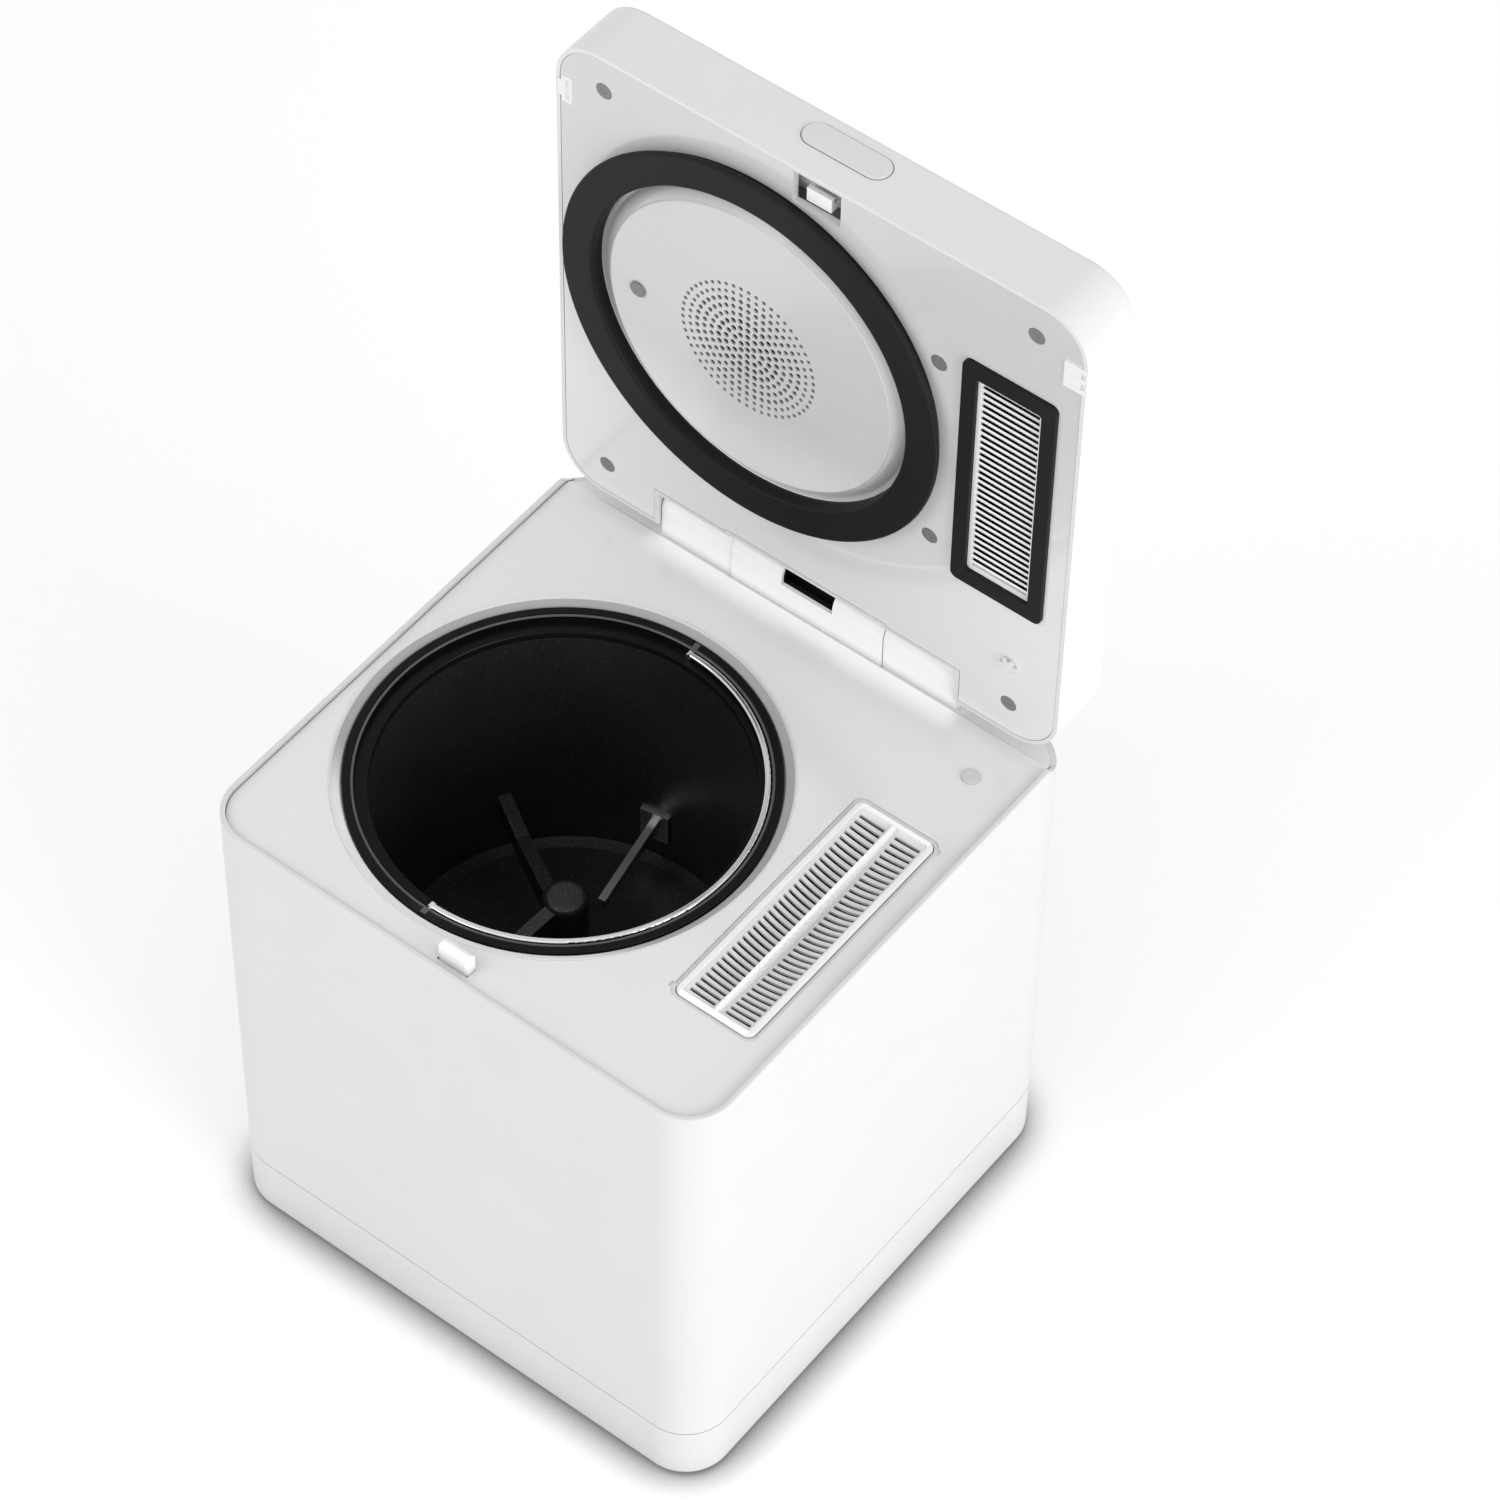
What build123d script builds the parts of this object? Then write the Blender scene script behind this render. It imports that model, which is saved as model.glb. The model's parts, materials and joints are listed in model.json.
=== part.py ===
"""Electric food waste composter: free-standing base, top deck with a lift-out bucket,
hinged lid with filter intake, release button, stirrer drive, fan and lift-out filter.

Millimetres. X to the right, Y to the back, Z up. Everything is drawn about the
middle of the base on the floor. The lid is drawn closed and then turned a quarter
turn back about its hinge axis, which is how it rests here. The finished pieces are
moved forwards by SHIFT_Y, so the origin is the middle of the open outline.
"""
import math
import os

from build123d import *

os.makedirs("parts", exist_ok=True)

# ------------------------------------------------------------------ body
W = 300.0            # width
D = 294.0            # depth
RV = 25.0            # vertical corner radius
RIM = 304.0          # top of the housing wall
BOT = 3.0            # underside of the base
SEAM = 38.0          # joint between base and housing
SEAM_GAP = 0.5
WALL = 2.6
DECK = 301.5         # top of the deck
DECK_T = 2.5
BAND = 3.0           # width of the rim band round the deck

SHIFT_Y = -8.5       # half of what the open lid adds behind the base

# ------------------------------------------------------------------ hinge
AY, AZ = 141.35, 319.15
HINGE = Axis((0, AY, AZ), (1, 0, 0))
COVER_R = 12.6       # centre hinge cover
COVER_X = 45.85
KN_R = 11.9          # outer knuckles
KN_X0, KN_X1 = 46.15, 89.7
TROUGH_R = 22.7
PIN_D = 6.0

# ------------------------------------------------------------------ bucket
PX, PY = -32.5, -18.5
OPEN_R = 111.4       # opening in the deck
BEZ_Z = 298.2        # foot of the bevel
LEDGE_Z = 296.5      # ledge that carries the bucket
WELL_R = 103.2
BUCKET_R = 94.5
BUCKET_T = 1.5
BUCKET_Z0, BUCKET_Z1 = 128.0, 290.5
PIV_Z = 297.0        # bail pivot height

# ------------------------------------------------------------------ lid, closed
LZ0, LZ1 = 304.8, 341.8
LY0, LY1 = -147.0, 151.0
LT = 2.2
PANEL_Z = 305.0
BTN_Z = 326.8

# ------------------------------------------------------------------ vent insert
VX0, VX1, VY0, VY1 = 88.0, 133.5, -87.0, 56.5

# ------------------------------------------------------------------ gears
M1, M2 = 1.25, 1.5
Z_MOTOR, Z_WHEEL, Z_PINION, Z_OUT = 14, 56, 14, 60
C1 = M1 * (Z_MOTOR + Z_WHEEL) / 2      # 43.75
C2 = M2 * (Z_PINION + Z_OUT) / 2       # 55.5
A2 = math.radians(25.0)
A1 = math.radians(-20.0)
IX, IY = PX + C2 * math.cos(A2), PY + C2 * math.sin(A2)
MX, MY = IX + C1 * math.cos(A1), IY + C1 * math.sin(A1)


# ------------------------------------------------------------------ helpers
def box(x0, x1, y0, y1, z0, z1):
    return Pos((x0 + x1) / 2, (y0 + y1) / 2, (z0 + z1) / 2) * Box(x1 - x0, y1 - y0, z1 - z0)


def rbox(x0, x1, y0, y1, r, z0, z1):
    sk = Pos((x0 + x1) / 2, (y0 + y1) / 2, z0) * RectangleRounded(x1 - x0, y1 - y0, r)
    return extrude(sk, amount=z1 - z0, dir=(0, 0, 1))


def cyl(x, y, r, z0, z1):
    return Pos(x, y, (z0 + z1) / 2) * Cylinder(r, z1 - z0)


def cylx(y, z, r, x0, x1):
    return Pos((x0 + x1) / 2, y, z) * Rot(0, 90, 0) * Cylinder(r, x1 - x0)


def cyly(x, z, r, y0, y1):
    return Pos(x, (y0 + y1) / 2, z) * Rot(90, 0, 0) * Cylinder(r, y1 - y0)


def rev(pts, x=0.0, y=0.0):
    """Turn a closed (radius, z) outline round the upright axis through x, y."""
    sk = Plane.XZ * Polygon(*pts, align=None)
    return Pos(x, y, 0) * revolve(sk, Axis.Z)


def prism_yz(pts, x0, x1):
    """Push a closed (y, z) outline along x."""
    face = Face(Wire.make_polygon([Vector(x0, p[0], p[1]) for p in pts], close=True))
    return Solid.extrude(face, Vector(x1 - x0, 0, 0))


def prism_xy(pts, z0, z1):
    face = Face(Wire.make_polygon([Vector(p[0], p[1], z0) for p in pts], close=True))
    return Solid.extrude(face, Vector(0, 0, z1 - z0))


def prism_xz(pts, y0, y1):
    face = Face(Wire.make_polygon([Vector(p[0], y0, p[1]) for p in pts], close=True))
    return Solid.extrude(face, Vector(0, y1 - y0, 0))


def stadium_y(x, z, w, h, y0, y1):
    """Slot-shaped block pushed along y."""
    r = h / 2
    return (box(x - w / 2 + r, x + w / 2 - r, y0, y1, z - r, z + r)
            + cyly(x - w / 2 + r, z, r, y0, y1) + cyly(x + w / 2 - r, z, r, y0, y1))


def solids_of(shape):
    if isinstance(shape, (list, tuple)):
        out = []
        for s in shape:
            out += solids_of(s)
        return out
    return list(shape.solids())


def save(name, *shapes):
    sol = [s.moved(Location((0, SHIFT_Y, 0))) for s in solids_of(list(shapes))]
    out = sol[0] if len(sol) == 1 else Compound(children=sol)
    vol = sum(s.volume for s in sol)
    ok = all(s.is_valid for s in sol) if not callable(sol[0].is_valid) else all(s.is_valid() for s in sol)
    bb = out.bounding_box()
    print(f"{name:22s} n={len(sol):3d} vol={vol/1000:9.2f} cm3 ok={ok} "
          f"x {bb.min.X:7.1f} {bb.max.X:7.1f} y {bb.min.Y:7.1f} {bb.max.Y:7.1f} z {bb.min.Z:7.1f} {bb.max.Z:7.1f}")
    export_step(out, f"parts/{name}.step")


def save_lid(name, *shapes):
    save(name, *[s.rotate(HINGE, -90) for s in solids_of(list(shapes))])


def edges_at(shape, z, tol=0.01):
    return [e for e in shape.edges()
            if abs(e.bounding_box().min.Z - z) < tol and abs(e.bounding_box().max.Z - z) < tol]


# ------------------------------------------------------------------ outer shell
shell_o = rbox(-W / 2, W / 2, -D / 2, D / 2, RV, SEAM + SEAM_GAP, RIM)
shell_o = fillet(edges_at(shell_o, RIM), 1.0)
shell = shell_o - rbox(-W / 2 + WALL, W / 2 - WALL, -D / 2 + WALL, D / 2 - WALL, RV - WALL, 0, 400)
# ledge under the deck
ledge = (rbox(-148, 148, -145, 145, RV - 2, 296.5, DECK - DECK_T)
         - rbox(-144.2, 144.2, -141.2, 141.2, RV - 5.8, 290, 310))
shell = shell + ledge
# rim band runs in to the deck
shell = shell - rbox(-W / 2 + BAND - 0.1, W / 2 - BAND + 0.1, -D / 2 + BAND - 0.1, D / 2 - BAND + 0.1,
                     RV - BAND + 0.1, DECK - DECK_T, 330)
trough_cut = cylx(AY, AZ, TROUGH_R, -W, W)
trough_out = cylx(AY, AZ, TROUGH_R + 2.6, -W, W)
shell = shell - (trough_cut)
shell = shell - box(-147.3, 147.3, 120, 144.4, 290, 310)          # room for the deck trough
# fan grille, slots in the rear wall
for i in range(9):
    zc = 152 + i * 7.0
    shell = shell - (box(70, 124, 140, 150, zc - 1.6, zc + 1.6))
# side vents low on the left wall
for i in range(10):
    yc = -40 + i * 9.0
    shell = shell - (box(-152, -145, yc - 1.6, yc + 1.6, 52, 74))
# opening for the mains inlet
INX, INZ = -100.0, 72.0
shell = shell - box(INX - 14.2, INX + 14.2, 140, 150, INZ - 10.6, INZ + 10.6)
for s in (-1, 1):
    shell = shell - cyly(INX + s * 20, INZ, 1.75, 140, 150)
# screw bosses in the lower corners, tied to the walls
for sx in (-1, 1):
    for sy in (-1, 1):
        bx, by = sx * 128.0, sy * 125.0
        boss = cyl(bx, by, 5.5, 48, 92) + box(min(bx, sx * 147.6), max(bx, sx * 147.6), by - 1.2, by + 1.2, 52, 90) \
            + box(bx - 1.2, bx + 1.2, min(by, sy * 144.6), max(by, sy * 144.6), 52, 90)
        boss = boss - cyl(bx, by, 1.7, 47, 70)
        shell = shell + boss
save("outer_shell", shell)

# ------------------------------------------------------------------ base pan
pan = rbox(-W / 2, W / 2, -D / 2, D / 2, RV, BOT, SEAM)
pan = fillet(edges_at(pan, BOT), 1.6)
pan = pan - rbox(-W / 2 + WALL, W / 2 - WALL, -D / 2 + WALL, D / 2 - WALL, RV - WALL, 6, 60)
lip = (rbox(-W / 2 + WALL + 0.2, W / 2 - WALL - 0.2, -D / 2 + WALL + 0.2, D / 2 - WALL - 0.2, RV - WALL - 0.2, 30, 44)
       - rbox(-W / 2 + WALL + 2, W / 2 - WALL - 2, -D / 2 + WALL + 2, D / 2 - WALL - 2, RV - WALL - 2, 20, 60))
lip_tie = (rbox(-W / 2 + 1, W / 2 - 1, -D / 2 + 1, D / 2 - 1, RV - 1, 30, 36)
           - rbox(-W / 2 + WALL + 2, W / 2 - WALL - 2, -D / 2 + WALL + 2, D / 2 - WALL - 2, RV - WALL - 2, 20, 60))
pan = pan + lip + lip_tie
FEET = [(sx * 118.0, sy * 115.0) for sx in (-1, 1) for sy in (-1, 1)]
for fx, fy in FEET:
    pan = pan + cyl(fx, fy, 9, 5, 10)
    pan = pan - cyl(fx, fy, 11.2, 0, 4.0) - cyl(fx, fy, 4.0, 2, 9)
for sx in (-1, 1):
    for sy in (-1, 1):
        bx, by = sx * 128.0, sy * 125.0
        pan = pan + cyl(bx, by, 5.5, 5, 48)
        pan = pan - cyl(bx, by, 3.6, 0, 40) - cyl(bx, by, 1.9, 2, 60)
# cooling slots in the floor
for i in range(9):
    yc = -36 + i * 9.0
    pan = pan - box(-60, -6, yc - 1.8, yc + 1.8, 0, 7)
# stiffening ribs on the floor
pan = pan + box(-112, -108, -141, 141, 5, 12) + box(-141, 141, 62, 66, 5, 12)
# mounts for the boards
for (qx, qy) in ((66, -129), (134, -129), (66, -56), (134, -56), (-134, -129), (-86, -129), (-134, -66), (-86, -66)):
    pan = pan + cyl(qx, qy, 3.2, 5, 13)
# seat round the motor
pan = pan + (cyl(MX, MY, 32, 5, 9) - cyl(MX, MY, 29.2, 4, 12))
# gearbox pillars
PIL = [(-74.0, 20.0), (-66.0, -66.0), (14.0, 47.0), (16.0, -50.0)]
for (qx, qy) in PIL:
    pan = pan + cyl(qx, qy, 6.5, 5, 74) + box(qx - 14, qx + 14, qy - 1.2, qy + 1.2, 5, 30) \
        + box(qx - 1.2, qx + 1.2, qy - 14, qy + 14, 5, 30)
    pan = pan - cyl(qx, qy, 1.6, 60, 80)
save("base_pan", pan)

feet = []
for fx, fy in FEET:
    f = rev([(0, 0), (9.6, 0), (11.0, 1.2), (11.0, 4.0), (3.9, 4.0), (3.9, 8.0), (0, 8.0)], fx, fy)
    f = f - rev([(0, -1), (5.0, -1), (4.0, 1.2), (0, 1.2)], fx, fy)
    feet.append(f)
save("feet", *feet)

screws = []
for sx in (-1, 1):
    for sy in (-1, 1):
        bx, by = sx * 128.0, sy * 125.0
        s = rev([(0, 36.5), (3.3, 36.5), (3.4, 37.2), (3.4, 40.0), (1.65, 40.0), (1.65, 64), (0, 65.5)], bx, by)
        s = s - (box(bx - 2.2, bx + 2.2, by - 0.45, by + 0.45, 36, 38) + box(bx - 0.45, bx + 0.45, by - 2.2, by + 2.2, 36, 38))
        screws.append(s)
save("base_screws", *screws)

# ------------------------------------------------------------------ deck
dx, dy = W / 2 - BAND, D / 2 - BAND
deck = rbox(-dx, dx, -dy, dy, RV - BAND, DECK - DECK_T, DECK)
deck = deck - cylx(AY, AZ, TROUGH_R + 1.3, -W, W)
trough = (cylx(AY, AZ, TROUGH_R + 2.5, -dx, dx) - cylx(AY, AZ, TROUGH_R, -W, W))
trough = trough & box(-dx, dx, 100, 144.0, 285, DECK)
# trough corners follow the rounded plan of the housing
trough = trough & rbox(-dx, dx, -dy, dy, RV - BAND, 280, 310)
deck = deck + trough
deck = deck - cyl(PX, PY, OPEN_R + 0.1, 280, 320)
# shallow step round the vent insert, then a close hole for it
deck = deck - rbox(VX0 - 2.2, VX1 + 2.2, VY0 - 2.2, VY1 + 2.2, 5.4, DECK - 0.8, 320)
deck = deck - rbox(VX0 - 0.45, VX1 + 0.45, VY0 - 0.45, VY1 + 0.45, 4.9, 280, 320)
# finger notches at two corners of the step
deck = deck - box(VX1 + 1.0, VX1 + 3.6, VY1 - 4.4, VY1 - 1.2, DECK - 0.8, 320)
deck = deck - box(VX0 - 3.6, VX0 - 1.0, VY0 + 1.2, VY0 + 4.4, DECK - 0.8, 320)
SWX, SWY = 121.0, 100.0
deck = deck + cyl(SWX, SWY, 8.0, 293, DECK)
deck = deck - cyl(SWX, SWY, 4.55, 280, 320)
deck = deck - box(-9.15, 9.15, -140.15, -133.85, 280, 320)
# ribs under the deck
for xx in (-136, -128):
    deck = deck + box(xx - 1, xx + 1, 60, 110, 292, 299.5)
deck = deck + box(-130, -60, 114, 116, 292, 299.5) + box(30, 100, 114, 116, 292, 299.5)
save("deck_panel", deck)

bezel = rev([(111.4, DECK + 0.2), (111.0, DECK + 0.2), (110.55, 299.45), (106.3, BEZ_Z), (105.9, BEZ_Z - 0.4), (105.9, LEDGE_Z),
             (WELL_R, LEDGE_Z), (WELL_R, 293), (113.0, 293), (113.0, DECK - DECK_T), (111.4, DECK - DECK_T)], PX, PY)
bezel = bezel & box(-144.0, 200, -300, 300, 200, 400)
save("opening_bezel", bezel)

# ------------------------------------------------------------------ bucket well
well = rev([(11.5, 124), (100, 124), (104.4, 128.4), (104.4, 291.8), (113, 291.8), (113, 293), (WELL_R, 293),
            (WELL_R, 129), (99.5, 125.2), (11.5, 125.2)], PX, PY)
save("pot_well", well)
heater = rev([(30, 120.6), (92, 120.6), (92, 124), (30, 124)], PX, PY)
for k in range(6):
    a = math.radians(60 * k + 20)
    heater = heater - cyl(PX + 61 * math.cos(a), PY + 61 * math.sin(a), 9, 110, 130)
# heating coil pressed into the plate
heater = heater + (Pos(PX, PY, 119.2) * Torus(80, 2.2))
save("heater_plate", heater)
sensor = box(PX - 104.4 - 7, PX - 100, PY - 6, PY + 6, 150, 172) - cyl(PX, PY, 104.4, 100, 200)
sensor = sensor + cylx(PY, 161, 2.0, PX - 114, PX - 110.0)
save("temp_sensor", sensor)

# ------------------------------------------------------------------ gears
PA = math.radians(25.0)


def gear_pts(m, z, phase, x, y, slack=0.15, steps=6):
    rp, ra = m * z / 2, m * z / 2 + m
    rf, rb = m * z / 2 - 1.25 * m, m * z / 2 * math.cos(PA)
    half = math.pi / (2 * z) - slack / (2 * rp)
    inv_p = math.tan(PA) - PA
    r0 = max(rf, rb)
    flank = []
    for i in range(steps + 1):
        r = r0 + (ra - r0) * i / steps
        al = math.acos(min(1.0, rb / r))
        flank.append((r, half + inv_p - (math.tan(al) - al)))
    pts = []
    for t in range(z):
        c = phase + 2 * math.pi * t / z
        left = ([(rf, -flank[0][1] - 0.02)] if rb > rf else []) + [(r, -a) for r, a in flank]
        right = [(r, a) for r, a in reversed(flank)] + ([(rf, flank[0][1] + 0.02)] if rb > rf else [])
        for r, a in left + right:
            pts.append((x + r * math.cos(c + a), y + r * math.sin(c + a)))
    return pts


th1 = A1 + math.pi                       # motor towards the intermediate axis
motor_gear = prism_xy(gear_pts(M1, Z_MOTOR, th1, MX, MY), 78, 90)
motor_gear = motor_gear + cyl(MX, MY, 3.0, 62, 92) + cyl(MX, MY, 6.4, 75.5, 78)
save("motor_pinion", motor_gear)

wheel = prism_xy(gear_pts(M1, Z_WHEEL, A1 + math.pi / Z_WHEEL, IX, IY), 80, 88)
for k in range(6):
    a = math.radians(60 * k)
    wheel = wheel - cyl(IX + 22 * math.cos(a), IY + 22 * math.sin(a), 6.5, 70, 95)
pin2 = prism_xy(gear_pts(M2, Z_PINION, A2 + math.pi, IX, IY), 88, 107)
inter = wheel + pin2 + cyl(IX, IY, 4.0, 75.6, 110.2)
save("intermediate_gear", inter)

out_g = prism_xy(gear_pts(M2, Z_OUT, A2 + math.pi / Z_OUT, PX, PY), 94, 106)
for k in range(6):
    a = math.radians(60 * k + 30)
    out_g = out_g - cyl(PX + 29 * math.cos(a), PY + 29 * math.sin(a), 8.5, 90, 110)
out_g = out_g + cyl(PX, PY, 8.0, 76, 112) + cyl(PX, PY, 10.6, 112, 126)
hex_r = 12.4 / math.sqrt(3)
out_g = out_g - prism_xy([(PX + hex_r * math.cos(math.radians(60 * k)), PY + hex_r * math.sin(math.radians(60 * k)))
                          for k in range(6)], 112, 130)
save("output_coupler", out_g)


# ------------------------------------------------------------------ gearbox
def hull(z0, z1, grow=0.0):
    """Plate with round ends over the three gear centres."""
    def tangent(c0, r0, c1, r1):
        d = math.hypot(c1[0] - c0[0], c1[1] - c0[1])
        a = math.atan2(c1[1] - c0[1], c1[0] - c0[0])
        b = math.acos((r0 - r1) / d)
        p = [(c0[0] + r0 * math.cos(a + b), c0[1] + r0 * math.sin(a + b)),
             (c1[0] + r1 * math.cos(a + b), c1[1] + r1 * math.sin(a + b)),
             (c1[0] + r1 * math.cos(a - b), c1[1] + r1 * math.sin(a - b)),
             (c0[0] + r0 * math.cos(a - b), c0[1] + r0 * math.sin(a - b))]
        return prism_xy(p, z0, z1)
    r_out, r_in, r_m = 49.5 + grow, 39.0 + grow, 15.0 + grow
    s = cyl(PX, PY, r_out, z0, z1) + cyl(IX, IY, r_in, z0, z1) + cyl(MX, MY, r_m, z0, z1)
    s = s + tangent((PX, PY), r_out, (IX, IY), r_in) + tangent((IX, IY), r_in, (MX, MY), r_m)
    return s


gb = hull(74, 108.4, 2.5) - hull(77, 120)
gb = gb + cyl(PX, PY, 14, 75, 92) + cyl(IX, IY, 8, 75, 79)
gb = gb - cyl(PX, PY, 11.0, 70, 120) - cyl(IX, IY, 4.05, 74.5, 100) - cyl(MX, MY, 8.0, 70, 80)
for (qx, qy) in PIL:
    gb = gb + cyl(qx, qy, 6.5, 74, 84)
    # web from the ear to the tub
    ddx, ddy = (PX if qx < 0 else IX) - qx, (PY if qx < 0 else IY) - qy
    L = math.hypot(ddx, ddy)
    ux, uy = ddx / L, ddy / L
    e0, e1 = (qx, qy), (qx + ux * min(L - 40, 14), qy + uy * min(L - 40, 14))
    nx, ny = -uy * 4, ux * 4
    gb = gb + prism_xy([(e0[0] + nx, e0[1] + ny), (e1[0] + nx, e1[1] + ny), (e1[0] - nx, e1[1] - ny), (e0[0] - nx, e0[1] - ny)], 74, 82)
gb = gb - hull(77, 120) + (cyl(PX, PY, 14, 76, 92) - cyl(PX, PY, 11.0, 70, 120)) + (cyl(IX, IY, 8, 76, 79) - cyl(IX, IY, 4.05, 70, 100))
for (qx, qy) in PIL:
    gb = gb - cyl(qx, qy, 1.9, 70, 90)
save("gearbox_housing", gb)
cover = hull(108.4, 111.4, 2.5) - cyl(PX, PY, 11.0, 100, 120) - cyl(IX, IY, 4.05, 100, 120)
cover = cover + (cyl(PX, PY, 13.0, 111.4, 116) - cyl(PX, PY, 11.0, 100, 120))
save("gearbox_cover", cover)
bush = [rev([(8.05, 77), (11.0, 77), (11.0, 92), (8.05, 92)], PX, PY),
        rev([(8.05, 107.4), (12.4, 107.4), (12.4, 108.4), (11.0, 108.4), (11.0, 111.6), (8.05, 111.6)], PX, PY)]
save("gearbox_bushings", *bush)

motor = cyl(MX, MY, 29.0, 9.0, 66.0) + cyl(MX, MY, 24.0, 66.0, 68.0) + cyl(MX, MY, 7.9, 68, 75.2)
motor = motor + box(MX - 33, MX + 33, MY - 5, MY + 5, 64, 66.5)
motor = motor - cyl(MX, MY, 3.05, 61, 80)
motor = fillet([e for e in motor.edges() if abs(e.bounding_box().max.Z - 9.0) < 0.01], 2.0)
for sx in (-1, 1):
    motor = motor + cyl(MX + sx * 20, MY, 3.0, 66, 74)
save("motor", motor)

# ------------------------------------------------------------------ filter bay, cartridge, duct, fan
bay = rbox(84, 137.5, -91, 60.5, 7.0, 222, 299) - rbox(86, 135.5, -89, 58.5, 5.0, 224, 310)
bay = bay + (rbox(82, 139.5, -93, 62.5, 9.0, 297, 299) - rbox(86, 135.5, -89, 58.5, 5.0, 290, 310))
for k in range(5):
    bay = bay - box(97 + k * 6.4, 100.6 + k * 6.4, 22, 54, 220, 226)
# rails that hold the cartridge off the floor
bay = bay + box(88, 92, -80, -76, 224, 226.4) + box(129.5, 133.5, -80, -76, 224, 226.4) \
    + box(88, 92, 46, 50, 224, 226.4) + box(129.5, 133.5, 46, 50, 224, 226.4)
save("filter_bay", bay)

case = rbox(VX0 + 0.5, VX1 - 0.5, VY0 + 0.5, VY1 - 0.5, 4.0, 226.6, 291.5)
case = case - rbox(VX0 + 2.3, VX1 - 2.3, VY0 + 2.3, VY1 - 2.3, 2.4, 228.4, 300)
for i in range(12):
    yc = VY0 + 10 + i * (VY1 - VY0 - 20) / 11
    case = case - box(94, 127.5, yc - 2.2, yc + 2.2, 220, 230)
save("filter_case", case)
carbon = rbox(VX0 + 2.4, VX1 - 2.4, VY0 + 2.4, VY1 - 2.4, 2.3, 228.5, 281.0)
for i in range(11):
    yc = VY0 + 12 + i * (VY1 - VY0 - 24) / 10
    for j in range(3):
        carbon = carbon - cyl(98 + j * 12.75, yc, 2.2, 262, 290)
save("filter_carbon", carbon)

# dished grille: straight edges, floor sinking towards the middle, fin along the middle
GX, GY = (VX0 + VX1) / 2, (VY0 + VY1) / 2
G_TOP = 302.2
FL_EDGE = 300.4
hx, hy = (VX1 - VX0) / 2 - 3.0, (VY1 - VY0) / 2 - 3.0
SAG = 6.6
nx_, ny_ = 9, 15
grid = []
for i in range(nx_):
    u = -1 + 2 * i / (nx_ - 1)
    row = []
    for j in range(ny_):
        v = -1 + 2 * j / (ny_ - 1)
        row.append(Vector(GX + u * (hx + 0.4), GY + v * (hy + 0.4),
                          FL_EDGE - SAG * (1 - u * u) * (1 - v * v)))
    grid.append(row)
top_face = Face.make_surface_from_array_of_points(grid)
floor_ = Solid.extrude(top_face, Vector(0, 0, -1.7))
frame_o = rbox(VX0, VX1, VY0, VY1, 4.5, 291.5, G_TOP)
frame_o = fillet(edges_at(frame_o, G_TOP), 1.1)
frame_ = frame_o - rbox(VX0 + 3.0, VX1 - 3.0, VY0 + 3.0, VY1 - 3.0, 1.6, 280, 310)
fin = box(GX - 1.1, GX + 1.1, VY0 + 2.0, VY1 - 2.0, 292.4, G_TOP - 0.6)
# small holes through the fin
for i in range(26):
    yc = GY - 37.5 + i * 3.0
    fin = fin - cylx(yc, G_TOP - 3.6 - (1.6 if i % 2 else 0.0), 0.4, GX - 2, GX + 2)
N_SLOT = 34
pitch = (2 * hy - 8.0) / (N_SLOT - 1)
slots = []
for i in range(N_SLOT):
    yc = GY - (N_SLOT - 1) * pitch / 2 + i * pitch
    slots.append(box(VX0 + 5.0, GX - 3.0, yc - 0.95, yc + 0.95, 280, 305))
    slots.append(box(GX + 3.0, VX1 - 5.0, yc - 0.95, yc + 0.95, 280, 305))
floor_ = floor_ - Compound(children=slots)
grille = frame_ + fin + floor_
save("filter_grille", grille)

duct = (box(92, 130, 17, 60, 158, 222) - box(93.8, 128.2, 18.8, 58.2, 160, 230))
duct = duct + (box(65.5, 128.5, 58, 123, 148.5, 211.5) - box(67.3, 126.7, 56, 130, 150.3, 209.7))
duct = duct + (box(65.5, 128.5, 58, 60, 148.5, 211.5))
duct = duct - box(93.8, 126.7, 50, 64, 160, 208)
save("exhaust_duct", duct)

FX, FZ = 97.0, 180.0
fan = rbox(FX - 30, FX + 30, -30, 30, 3.0, 0, 20.6)
fan = fan - cyl(0 + FX, 0, 28.2, -1, 30)
strut = box(FX - 29, FX + 29, -1.6, 1.6, 17.6, 20.6) + box(FX - 1.6, FX + 1.6, -29, 29, 17.6, 20.6) + cyl(FX, 0, 12, 17.2, 20.6)
fan = fan + strut
fan = fan + cyl(FX, 0, 1.5, 8, 18)
for sx in (-1, 1):
    for sy in (-1, 1):
        fan = fan - cyl(FX + sx * 25, sy * 25, 2.1, -1, 30)
rotor = (cyl(FX, 0, 12.5, 2.0, 16.6) - cyl(FX, 0, 1.6, 5, 20)) - cyl(FX, 0, 10.8, 12, 20)
for k in range(7):
    a = k * 360 / 7
    bl = Pos(FX, 0, 9.0) * Rot(0, 0, a) * Pos(19.4, 0, 0) * Rot(40, 0, 0) * Box(16.0, 13.5, 1.4)
    rotor = rotor + bl
rotor = rotor & cyl(FX, 0, 27.2, 1.5, 16.8)


def stand_up(s):
    """Fan axis from z to y, intake towards the front."""
    return Pos(0, 123.4, FZ) * Rot(-90, 0, 0) * s


save("fan_housing", stand_up(fan))
save("fan_rotor", stand_up(rotor))

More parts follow.
